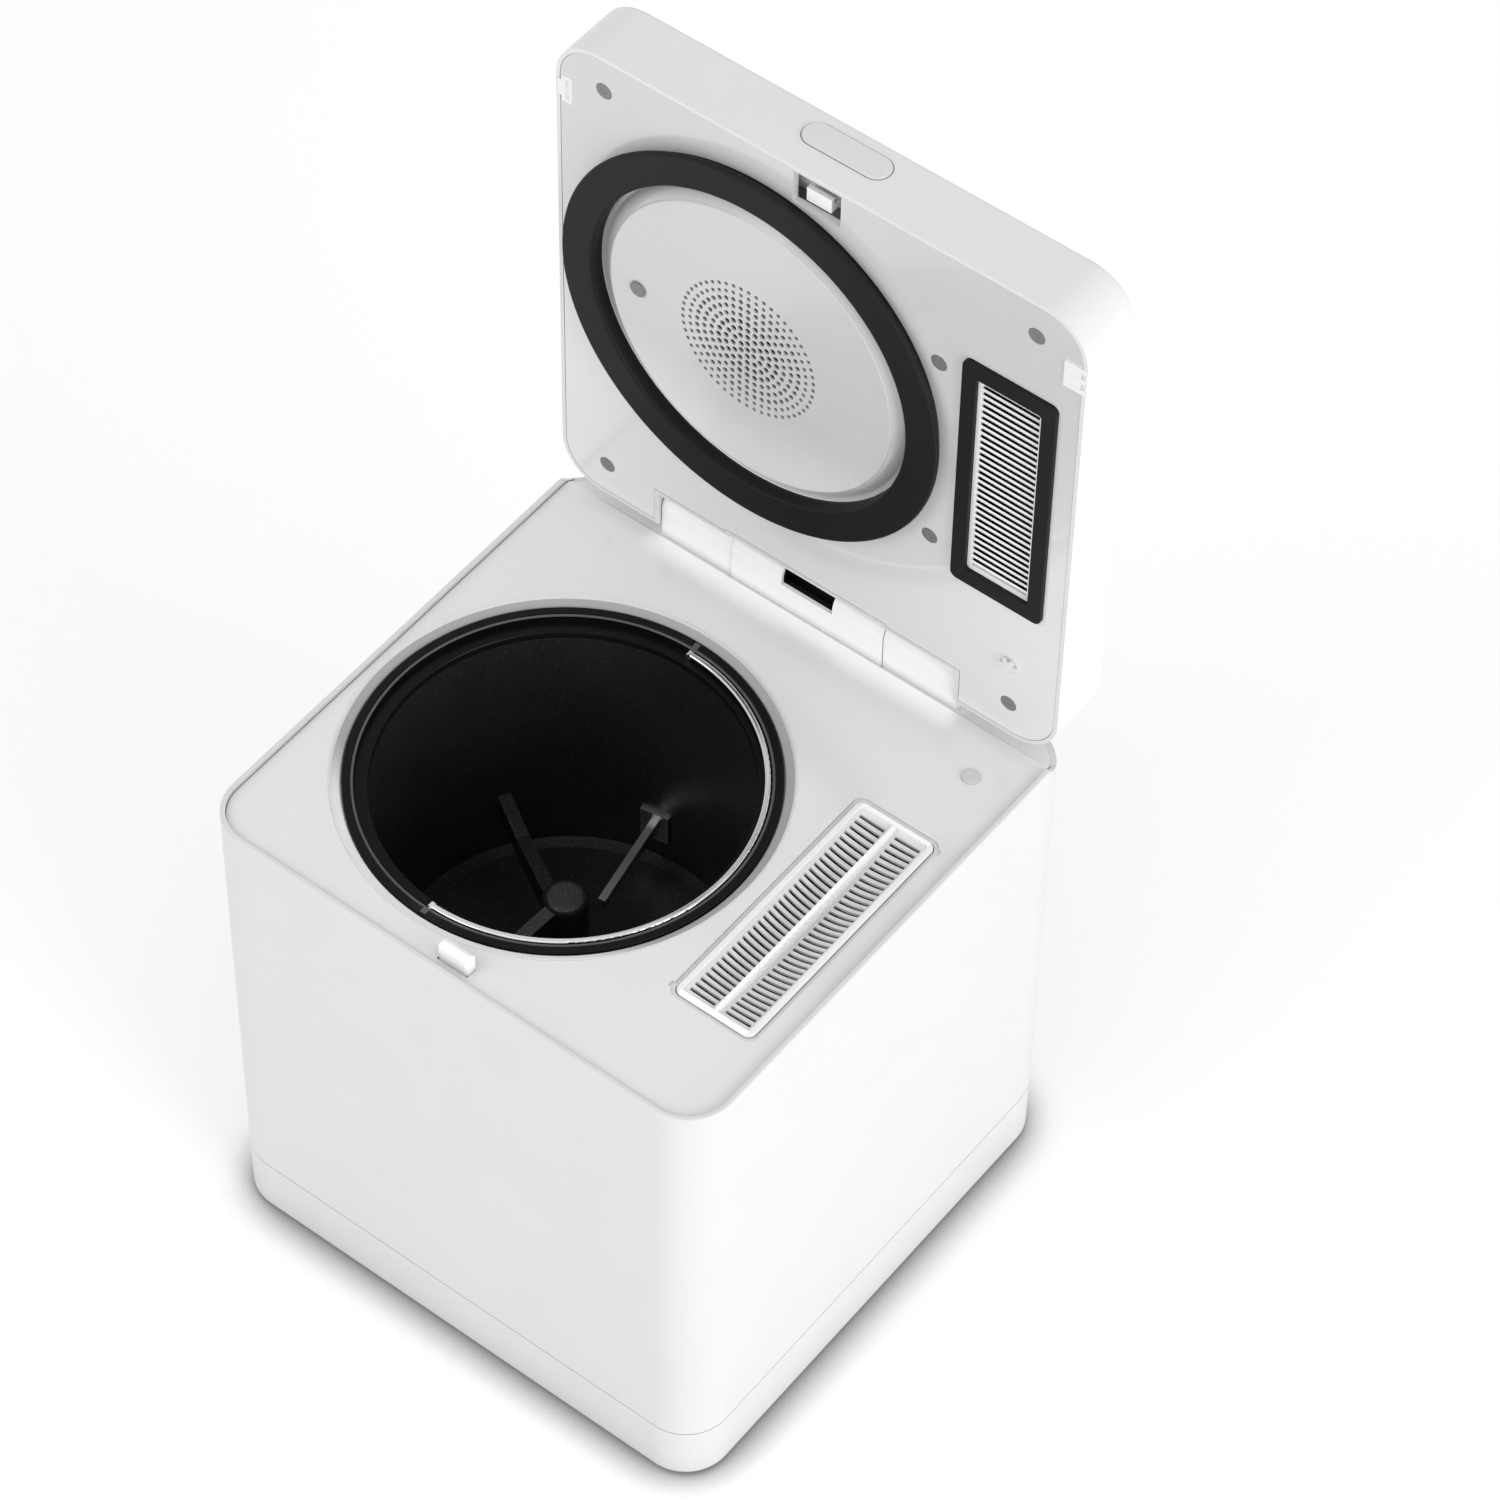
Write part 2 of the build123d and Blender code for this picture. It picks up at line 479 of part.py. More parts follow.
# ------------------------------------------------------------------ boards, inlet, switch
pb = box(60, 140, -135, -50, 13, 14.6)
pb = pb + (cyl(80, -112, 8, 14.6, 40)) + box(96, 122, -126, -104, 14.6, 36) + box(70, 92, -92, -72, 14.6, 30) \
    + box(102, 106, -96, -62, 14.6, 44) + box(110, 134, -92, -60, 14.6, 22) + cyl(130, -108, 5, 14.6, 32)
for k in range(8):
    pb = pb + box(105.5, 109.5, -94.5 + k * 4.2, -93.3 + k * 4.2, 20, 44)
pb = pb - cyl(128, -125, 7.0, 0, 60)
save("power_board", pb)
cb = box(-140, -80, -135, -60, 13, 14.6)
cb = cb + box(-122, -104, -112, -94, 14.6, 16.8) + box(-136, -130, -126, -96, 14.6, 24) + box(-96, -88, -126, -116, 14.6, 20) \
    + cyl(-94, -84, 5, 14.6, 26) + cyl(-108, -78, 4, 14.6, 22)
for k in range(5):
    cb = cb + box(-128 + k * 7, -124 + k * 7, -74, -66, 14.6, 22)
cb = cb - cyl(-128, -125, 7.0, 0, 60)
save("control_board", cb)

inlet = box(INX - 13.9, INX + 13.9, 122.5, 147.2, INZ - 10.3, INZ + 10.3)
inlet = inlet + (stadium_y(INX, INZ, 50, 23.4, 147.0, 149.2))
inlet = inlet - prism_xz([(INX - 12, INZ - 8.2), (INX + 12, INZ - 8.2), (INX + 12, INZ + 4.0), (INX + 8.2, INZ + 8.2),
                          (INX - 8.2, INZ + 8.2), (INX - 12, INZ + 4.0)], 130.5, 160)
for s in (-1, 1):
    inlet = inlet - cyly(INX + s * 20, INZ, 1.75, 140, 155) - Pos(INX + s * 20, 148.6, INZ) * Rot(-90, 0, 0) * Cone(1.75, 3.2, 1.4)
PINS = [(-7.0, -2.0), (7.0, -2.0), (0.0, 2.2)]
inlet_c = inlet
for (ox, oz) in PINS:
    inlet_c = inlet_c - box(INX + ox - 1.0, INX + ox + 1.0, 120, 131, INZ + oz - 2.0, INZ + oz + 2.0)
save("mains_inlet", inlet_c)
pins = [box(INX + ox - 1.0, INX + ox + 1.0, 112, 145.0, INZ + oz - 2.0, INZ + oz + 2.0) for (ox, oz) in PINS]
save("inlet_contacts", *pins)
isc = []
for s in (-1, 1):
    t = rev([(0, -14), (1.7, -12.5), (1.7, -1.3), (3.1, 0), (0, 0)]) - (box(-2.0, 2.0, -0.35, 0.35, -0.7, 1) + box(-0.35, 0.35, -2.0, 2.0, -0.7, 1))
    isc.append(Pos(INX + s * 20, 149.2, INZ) * Rot(-90, 0, 0) * t)
save("inlet_screws", *isc)

sw = box(SWX - 10, SWX + 10, SWY - 3.2, SWY + 3.2, 280.5, 290.8)
sw = sw + box(SWX - 9, SWX - 7.8, SWY - 1.6, SWY + 1.6, 274, 281) + box(SWX - 0.6, SWX + 0.6, SWY - 1.6, SWY + 1.6, 274, 281) \
    + box(SWX + 7.8, SWX + 9, SWY - 1.6, SWY + 1.6, 274, 281)
sw = sw + box(SWX - 10, SWX - 8.2, SWY - 3.2, SWY + 3.2, 290, 299) + box(SWX + 8.2, SWX + 10, SWY - 3.2, SWY + 3.2, 290, 299)
save("lid_switch", sw)
plunger = rev([(0, 292.9), (1.9, 292.9), (2.0, 293.1), (2.0, 296.0), (4.5, 296.0), (4.5, 302.0), (4.35, 302.4), (4.0, 302.55), (0, 302.55)], SWX, SWY)
save("switch_plunger", plunger)

# ------------------------------------------------------------------ latch hook on the deck
hook = box(-9, 9, -140, -134, 297.0, 312.5)
hook = fillet([e for e in hook.edges() if abs(e.bounding_box().max.Y + 140) < 0.01 and e.bounding_box().max.Z > 312
               or (abs(e.bounding_box().min.Z - 312.5) < 0.01 and e.bounding_box().size.Y > 5)], 1.8)
hook = hook - box(-7.4, 7.4, -137.2, -130, 306.5, 309.5)
hook = hook - prism_yz([(-134.0, 312.6), (-134.0, 311.2), (-136.4, 312.6)], -10, 10)
hook = hook + box(-14, 14, -141.0, -131.7, 295.8, 299.0)
save("latch_hook", hook)

# ------------------------------------------------------------------ hinge cover and knuckles
YF = AY - COVER_R


cov = cylx(AY, AZ, COVER_R, -COVER_X, COVER_X)
cov = cov + (box(-COVER_X, COVER_X, YF, 146.6, 296, AZ) & cylx(AY, AZ, TROUGH_R, -60, 60))
cov = cov + box(-COVER_X, COVER_X, YF, YF + 6, DECK, AZ)
inner = cylx(AY, AZ, COVER_R - 2.0, -COVER_X + 2, COVER_X - 2)
inner = inner + (box(-COVER_X + 2, COVER_X - 2, YF + 2, 144.6, 300.6, AZ) & cylx(AY, AZ, TROUGH_R - 2, -60, 60))
cov = cov - inner
# window in the front, carried over the top
cov = cov - (box(-15.5, 15.5, YF - 5, AY, 316.7, AZ + 20))
cov = cov - cylx(AY, AZ, PIN_D / 2 + 0.3, -60, 60)
save("hinge_cover", cov)
guide = (cylx(AY, AZ, COVER_R - 2.1, -43.7, 43.7) & box(-43.7, 43.7, AY - 3.5, AY + 13, AZ - 14, AZ + 14))
guide = guide + box(-43.7, 43.7, YF + 2.1, AY, 306.0, 314.4)
guide = guide - cylx(AY, AZ, 8.0, -30, 30)
guide = guide - box(-15, 15, YF, AY - 1, AZ - 1, AZ + 20)
save("cable_guide", guide)

for name, sg in (("hinge_knuckle_left", -1), ("hinge_knuckle_right", 1)):
    a, b = sorted((sg * KN_X0, sg * KN_X1))
    k = cylx(AY, AZ, KN_R, a, b)
    k = k + (box(a, b, AY - KN_R, 146.6, 296, AZ) & cylx(AY, AZ, TROUGH_R, -100, 100))
    k = k - cylx(AY, AZ, PIN_D / 2 + 0.05, min(sg * 66, sg * 95), max(sg * 66, sg * 95))
    # hollow from below and behind
    a2, b2 = sorted((sg * (KN_X0 + 3), sg * 64))
    k = k - (box(a2, b2, AY - KN_R + 2.4, 144.2, 290, AZ - 3) & cylx(AY, AZ, TROUGH_R + 5, -100, 100))
    save(name, k)

# ------------------------------------------------------------------ lid shell, drawn closed
LC = rbox(-W / 2, W / 2, LY0, LY1, RV, LZ0, LZ1)
LC = fillet(edges_at(LC, LZ1), 3.0)
hol = rbox(-W / 2 + LT, W / 2 - LT, LY0 + LT, LY1 - LT, RV - LT, LZ0 - 1, LZ1 - 2.5)
hol = hol - box(-92.6, 92.6, 126.8, 160, 290, 350) - box(-48.2, 48.2, 125.3, 160, 290, 350)
lid = LC - hol
lid = lid - box(-90.2, 90.2, 129.0, 160, 290, LZ1 - 2.5) - box(-46.0, 46.0, 127.5, 160, 290, LZ1 - 2.5)
# bosses for the hinge pins
for sg in (-1, 1):
    a, b = sorted((sg * 90.2, sg * 101.0))
    bb = cylx(AY, AZ, 6.5, a, b) + box(a, b, AY - 5, AY + 5, AZ, LZ1 - 1.5)
    lid = lid + bb
    lid = lid - cylx(AY, AZ, PIN_D / 2, min(sg * 88, sg * 99.5), max(sg * 88, sg * 99.5))
# posts for the panel screws
PLUGS = [(122, -126), (-122, -126), (-122, 129.6), (121.5, 129.3), (70.8, -74.1), (70.9, 44.2)]
PLUGS5 = PLUGS[:6]
for (px_, py_) in PLUGS5:
    lid = lid + cyl(px_, py_, 4.6, 309.2, LZ1 - 1.5)
    lid = lid - cyl(px_, py_, 1.6, 300, 330)
# hole for the release button in the front wall
lid = lid - stadium_y(0, BTN_Z, 48.8, 15.8, LY0 - 2, LY0 + LT + 0.4)
# guide rails for the latch slider
for sg in (-1, 1):
    a, b = sorted((sg * 24.4, sg * 26.4))
    lid = lid + box(a, b, -144.9, -112, 309.2, LZ1 - 1.5)
lid = lid + box(-26.4, 26.4, -112, -110, 312.0, LZ1 - 1.5)
# stiffening ribs under the top skin
lid = lid + box(-140, -138, -118, 118, 331, LZ1 - 1.5) + box(-118, 60, 112, 114, 331, LZ1 - 1.5)
# recess for the touch strip on the front of the top
TZ = LZ1 - 0.8
lid = lid - rbox(-45, 45, -128, -104, 4.0, TZ, LZ1 + 1)
save_lid("lid_shell", lid)
touch = rbox(-44.9, 44.9, -127.9, -104.1, 3.9, TZ, LZ1 - 0.05)
save_lid("touch_strip", touch)

pan_x, pan_y0, pan_y1 = W / 2 - LT - 0.25, LY0 + LT + 0.25, LY1 - LT - 0.25
panel = rbox(-pan_x, pan_x, pan_y0, pan_y1, RV - LT - 0.25, PANEL_Z, PANEL_Z + 2.2)
panel = panel - box(-92.9, 92.9, 126.5, 160, 290, 350) - box(-48.5, 48.5, 125.0, 160, 290, 350)
panel = panel - box(-13.4, 13.4, -143.5, -124, 290, 350)
panel = panel - cyl(PX, PY, 91.4, 290, 350)
panel = panel - box(93, 129, -79.8, 50.2, 290, 350)
# cups round the screw heads
for (px_, py_) in PLUGS5:
    panel = panel + cyl(px_, py_, 6.4, PANEL_Z, 309.2)
    panel = panel - cyl(px_, py_, 4.6, 290, 308.2) - cyl(px_, py_, 1.9, 290, 320)
# walls round the latch recess
rec = box(-15.2, 15.2, -144.45, -122.2, PANEL_Z, 309.0) - box(-13.4, 13.4, -143.5, -124, 290, 350)
panel = panel + (rec & box(-20, 20, pan_y0, -110, 300, 330))
# pockets for the bumpers
BUMP = [(-149.0 + 2.6, -140.6, -122, -106), (138.0, 147.0, -122, -106)]
for (bx0, bx1, by0, by1) in BUMP:
    panel = panel - box(bx0, bx1, by0, by1, 300, 306.4)
# spigot for the switch boss
panel = panel - cyl(120.6, 101.0, 2.5, 300, 320)
save_lid("lid_inner_panel", panel)

gasket = rev([(110.1, PANEL_Z), (110.1, 300.3), (109.95, 299.95), (109.6, 299.8), (92.0, 299.8), (91.6, 299.95),
              (91.4, 300.3), (91.4, PANEL_Z)], PX, PY)
save_lid("lid_gasket", gasket)

# domed dish with the steam perforation
DZ0, DZ1 = 299.5, 298.4
DISH_T = 1.1


def dome(rmax, z_edge, z_mid, n=14):
    return [(rmax * i / n, z_mid + (z_edge - z_mid) * (i / n) ** 2) for i in range(n + 1)]


dish_pts = dome(81.6, DZ0, DZ1) + [(82.4, 299.8), (82.9, 300.4), (88.9, 305.0), (89.6, 305.3), (91.3, 305.3), (91.3, PANEL_Z + 2.2),
                                   (93.0, PANEL_Z + 2.2), (93.0, 309.0), (89.2, 309.0), (87.8, 306.2), (81.6, 301.3)] \
    + list(reversed(dome(80.8, DZ0 + DISH_T, DZ1 + DISH_T)))
dish = rev(dish_pts, PX, PY)
holes = [cyl(PX, PY, 1.6, 295, 306)]
for ring in range(1, 10):
    rr = ring * 4.25
    n = 6 * ring
    hr = 1.6 if ring <= 4 else (1.4 if ring <= 7 else 1.15)
    for k in range(n):
        a = 2 * math.pi * (k + 0.5 * (ring % 2)) / n
        holes.append(cyl(PX + rr * math.cos(a), PY + rr * math.sin(a), hr, 295, 306))
dish = dish - Compound(children=[h for g in holes for h in g.solids()])
dish = dish - cyl(PX - 65, PY + 2, 3.2, 290, 310)
save_lid("vent_dish", dish)
st = rev([(0, 297.8), (3.6, 297.8), (4.4, 298.2), (4.4, 298.7), (3.1, 298.7), (3.1, 303.5), (2.2, 303.5), (2.2, 309.5), (0, 309.5)], PX - 65, PY + 2)
save_lid("steam_sensor", st)

lfg = rbox(85, 137, -89, 59.5, 4.0, 302.6, PANEL_Z) - rbox(93, 129, -79.8, 50.2, 1.5, 300, 310)
lfg = fillet(edges_at(lfg, 302.6), 0.35)
save_lid("lid_filter_gasket", lfg)
lg = box(93.1, 128.9, -79.7, 50.1, PANEL_Z + 0.2, PANEL_Z + 2.0) - box(95, 127, -77.8, 48.2, 300, 310)
N_SL = 31
for i in range(N_SL):
    yc = -77.8 + (i + 0.5) * 126.0 / N_SL
    lg = lg + (Pos(111, yc, PANEL_Z + 1.1) * Rot(28, 0, 0) * Box(33.0, 2.4, 0.9))
save_lid("lid_grille", lg)

# channel over the panel, from the dish to the grille
def chan(grow, z0, z1):
    return cyl(PX, PY, 91.0 + grow, z0, z1) + box(20, 60 + grow, -50 - grow, 18 + grow, z0, z1) \
        + box(55, 92, -40 - grow, 18 + grow, z0, z1) + box(90 - grow, 131 + grow, -82 - grow, 53 + grow, z0, z1)


ch = chan(0, PANEL_Z + 2.2, 328.0) - chan(-1.8, 300, 326.2)
ch = ch - cyl(PX, PY, 93.0, 300, 309.0)
save_lid("lid_duct", ch)

plugs = []
lscrews = []
for (px_, py_) in PLUGS5:
    plugs.append(rev([(0, 305.3), (1.6, 305.3), (1.8, 305.0), (4.3, 305.0), (4.55, 305.3), (4.55, 306.2), (0, 306.2)], px_, py_))
    s = rev([(0, 306.6), (3.4, 306.6), (3.4, 308.2), (1.6, 308.2), (1.6, 324), (0, 325.5)], px_, py_)
    s = s - (box(px_ - 2, px_ + 2, py_ - 0.4, py_ + 0.4, 306, 307.6) + box(px_ - 0.4, px_ + 0.4, py_ - 2, py_ + 2, 306, 307.6))
    lscrews.append(s)
save_lid("screw_plugs", *plugs)
save_lid("lid_screws", *lscrews)

bump = []
bx0, bx1, by0, by1 = BUMP[0]
b = box(bx0, bx1, by0, by1, 304.3, 306.4) + box(-149.0, bx0 + 0.5, by0 + 3, by1 - 3, 304.3, 304.8)
bump.append(b - box(bx0 + 2.2, bx1 - 1.4, by0 + 2, by1 - 2, 304.0, 305.0))
bx0, bx1, by0, by1 = BUMP[1]
b = box(bx0, bx1, by0, by1, 304.6, 306.4)
b = b + box(bx0, bx0 + 2.2, by0, by1, 304.3, 304.8)
for k in range(3):
    yy = by0 + k * (by1 - by0 - 3) / 2
    b = b + box(bx0, 149.5, yy, yy + 3, 304.3, 304.8)
bump.append(b)
save_lid("lid_bumpers", *bump)
star = cyl(120.6, 101.0, 2.5, 303.4, 307.2)
for k in range(3):
    star = star + (Pos(120.6, 101.0, 304.0) * Rot(0, 0, 60 * k) * Box(10.0, 2.2, 2.0))
star = star + cyl(120.6, 101.0, 3.2, 303.0, 305.0)
save_lid("switch_boss", star)
hp = [cylx(AY, AZ, PIN_D / 2, 67, 99.5), cylx(AY, AZ, PIN_D / 2, -99.5, -67)]
save_lid("hinge_pins", *hp)

# ------------------------------------------------------------------ release button and latch slider
btn = stadium_y(0, BTN_Z, 48.0, 15.0, -147.9, -142.6)
btn = fillet([e for e in btn.edges() if e.bounding_box().max.Y < -147.8], 0.9)
btn = btn + box(-23, 23, -144.2, -142.6, 318.6, 335.0)
btn = btn + box(-20, -17, -142.7, -132, 324, 331) + box(17, 20, -142.7, -132, 324, 331)
btn = btn - cyly(0, 328.0, 3.4, -141, -100)
save_lid("release_button", btn)
sl = box(-24.0, 24.0, -132, -120, 318.0, 331.0)
sl = sl + box(-7, 7, -135.8, -127.7, 306.8, 309.2) + box(-7, 7, -131.7, -127.7, 306.8, 318.5)
sl = sl - cyly(0, 326.0, 4.2, -126, -100)
sl = sl + box(-24, 24, -132, -129, 314.0, 318.2)
save_lid("latch_slider", sl)
# spring behind the slider
coil_r, wire_r = 3.0, 0.45
path = Helix(pitch=3.0, height=12.8, radius=coil_r)
path = Pos(0, -112.5, 326.0) * Rot(90, 0, 0) * path
start = path @ 0
tang = path % 0
prof = Plane(origin=start, z_dir=tang) * Circle(wire_r)
spr = sweep(prof, path=path)
save_lid("latch_spring", spr)

# ------------------------------------------------------------------ bucket
bk = rev([(12.0, 128), (89.5, 128), (94.5, 133), (94.5, 289), (99, 289), (99, 290.5), (93, 290.5), (93, 133.6), (88.9, 129.5), (12.0, 129.5)], PX, PY)
save("bucket", bk)
rim = rev([(105.4, 296.5), (105.4, 298.8), (105.1, 299.1), (101.7, 299.1), (101.4, 298.8), (101.4, 298.3), (99.8, 298.3), (99.8, 294.8),
           (93.3, 294.8), (93.0, 294.4), (93.0, 290.5), (99.3, 290.5), (99.3, 286), (102.5, 286), (102.5, 296.5)], PX, PY)
rim = rim - cyly(PX, PIV_Z, 1.05, PY - 101.9, PY + 101.9)
for sg in (-1, 1):
    ya, yb = sorted((PY + sg * 101.0, PY + sg * 104.5))
    rim = rim - box(PX - 1.8, PX + 1.8, ya, yb, 298.8, 300)
save("bucket_rim", rim)
trim = rev([(99.9, 298.3), (101.3, 298.3), (101.3, 298.5), (101.0, 298.8), (100.2, 298.8), (99.9, 298.5)], PX, PY)
for sg in (-1, 1):
    ya, yb = sorted((PY + sg * 100.3, PY + sg * 104.3))
    trim = trim + box(PX - 1.6, PX + 1.6, ya, yb, 298.8, 299.3)
save("bucket_trim_ring", trim)
bear = rev([(5.05, 126.7), (14, 126.7), (14, 128), (12, 128), (12, 129.5), (16, 129.5), (16, 131.5), (11, 139.6), (5.05, 139.6)], PX, PY)
save("bucket_bearing", bear)
fb = []
for a in (100, 220, 340):
    blade = Pos(PX, PY, 0) * Rot(0, 0, a) * (prism_xz([(36, 155.5), (92.95, 153.5), (92.95, 162.5), (36, 160.5)], -2.0, 2.0)
                                             + box(90.9, 92.95, -8, 8, 148, 168))
    fb.append(blade & cyl(PX, PY, 93.0, 100, 250))
save("fixed_blades", *fb)
shaft = cyl(PX, PY, 5.0, 120, 204)
hexr = 12.0 / math.sqrt(3)
dog = prism_xy([(PX + hexr * math.cos(math.radians(60 * k)), PY + hexr * math.sin(math.radians(60 * k))) for k in range(6)], 113, 126.4)
save("stirrer_shaft", shaft + dog)
hub = cyl(PX, PY, 11.5, 140.2, 206)
hub = fillet(edges_at(hub, 206), 4.0)
arms = [
    ([(6, 141), (16, 141), (22, 134), (87, 131.6), (88, 151), (72, 149), (62, 140), (26, 146), (6, 152)], 20, 7.0),
    ([(6, 166), (84, 169), (86, 184), (60, 181), (6, 184)], 150, 7.0),
    ([(6, 187), (78, 190), (80, 203), (52, 201), (6, 204)], 265, 7.0)]
for pts, ang, th in arms:
    hub = hub + Pos(PX, PY, 0) * Rot(0, 0, ang) * prism_xz(pts, -th / 2, th / 2)
hub = hub - cyl(PX, PY, 5.0, 100, 202)
hub = hub - cyl(PX, PY, 5.0, 100, 204)
save("stirrer_arms", hub)

# ------------------------------------------------------------------ bail handle
BR0, BR1 = 96.0, 99.2
bz0, bz1 = PIV_Z - 0.7, PIV_Z + 1.9
ring_ = rev([(BR0, bz0), (BR1, bz0), (BR1, bz1), (BR0, bz1)])
bail = ring_ & box(0, 120, -120, 120, 280, 320)
bail = fillet([e for e in bail.edges() if e.length > 100], 1.1)
for s in (-1, 1):
    y0, y1 = sorted((s * BR0, s * BR1))
    bail = bail + cyly(0, PIV_Z, 1.9, y0, y1)
    y0, y1 = sorted((s * 97.0, s * 101.7))
    bail = bail + cyly(0, PIV_Z, 1.0, y0, y1)
bail = Pos(PX, PY, 0) * bail
save("bail_handle", bail)
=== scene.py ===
import json
import math

import bmesh
import bpy
from mathutils import Matrix, Vector


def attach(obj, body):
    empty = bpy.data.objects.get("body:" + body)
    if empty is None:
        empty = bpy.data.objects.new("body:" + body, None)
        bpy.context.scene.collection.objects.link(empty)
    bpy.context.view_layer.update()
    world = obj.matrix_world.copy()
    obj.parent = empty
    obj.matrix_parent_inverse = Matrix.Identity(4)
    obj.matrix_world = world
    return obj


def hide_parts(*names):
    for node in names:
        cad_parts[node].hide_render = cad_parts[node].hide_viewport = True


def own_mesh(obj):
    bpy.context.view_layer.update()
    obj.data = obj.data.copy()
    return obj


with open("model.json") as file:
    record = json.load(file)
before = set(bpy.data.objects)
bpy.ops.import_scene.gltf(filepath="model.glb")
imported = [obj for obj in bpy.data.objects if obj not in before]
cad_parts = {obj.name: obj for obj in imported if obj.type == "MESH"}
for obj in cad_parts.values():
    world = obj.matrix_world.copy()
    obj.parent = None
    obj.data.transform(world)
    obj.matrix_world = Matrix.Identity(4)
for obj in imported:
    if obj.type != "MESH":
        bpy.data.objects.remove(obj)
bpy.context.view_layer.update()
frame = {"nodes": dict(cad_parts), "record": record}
N = frame["nodes"]
scene = bpy.context.scene

SY = -0.0085                     # the pieces stand this far forward of the base's middle
PX, PY = -0.0325, -0.0185 + SY   # axis of the bucket
AY, AZ = 0.14135 + SY, 0.31915   # hinge axis


# ------------------------------------------------------------------ camera
right = Vector((0.78960087, 0.61348580, 0.01287009))
down = Vector((0.48431641, -0.61019741, -0.62697427))
fwd = Vector((-0.37678651, 0.50129262, -0.77893365))
cam_data = bpy.data.cameras.new("camera")
cam = bpy.data.objects.new("camera", cam_data)
scene.collection.objects.link(cam)
rot = Matrix((right, -down, -fwd)).transposed().to_4x4()
cam.matrix_world = Matrix.Translation((1.07282, -1.34146 + SY, 2.46017)) @ rot
cam_data.sensor_fit = "HORIZONTAL"
cam_data.sensor_width = 36.0
cam_data.lens = 5808.0 / 1500.0 * 36.0
cam_data.clip_start = 0.05
cam_data.clip_end = 60.0
scene.camera = cam


# ------------------------------------------------------------------ materials
def node(nt, kind, **vals):
    n = nt.nodes.new(kind)
    for k, v in vals.items():
        if k in n.inputs:
            n.inputs[k].default_value = v
        else:
            setattr(n, k, v)
    return n


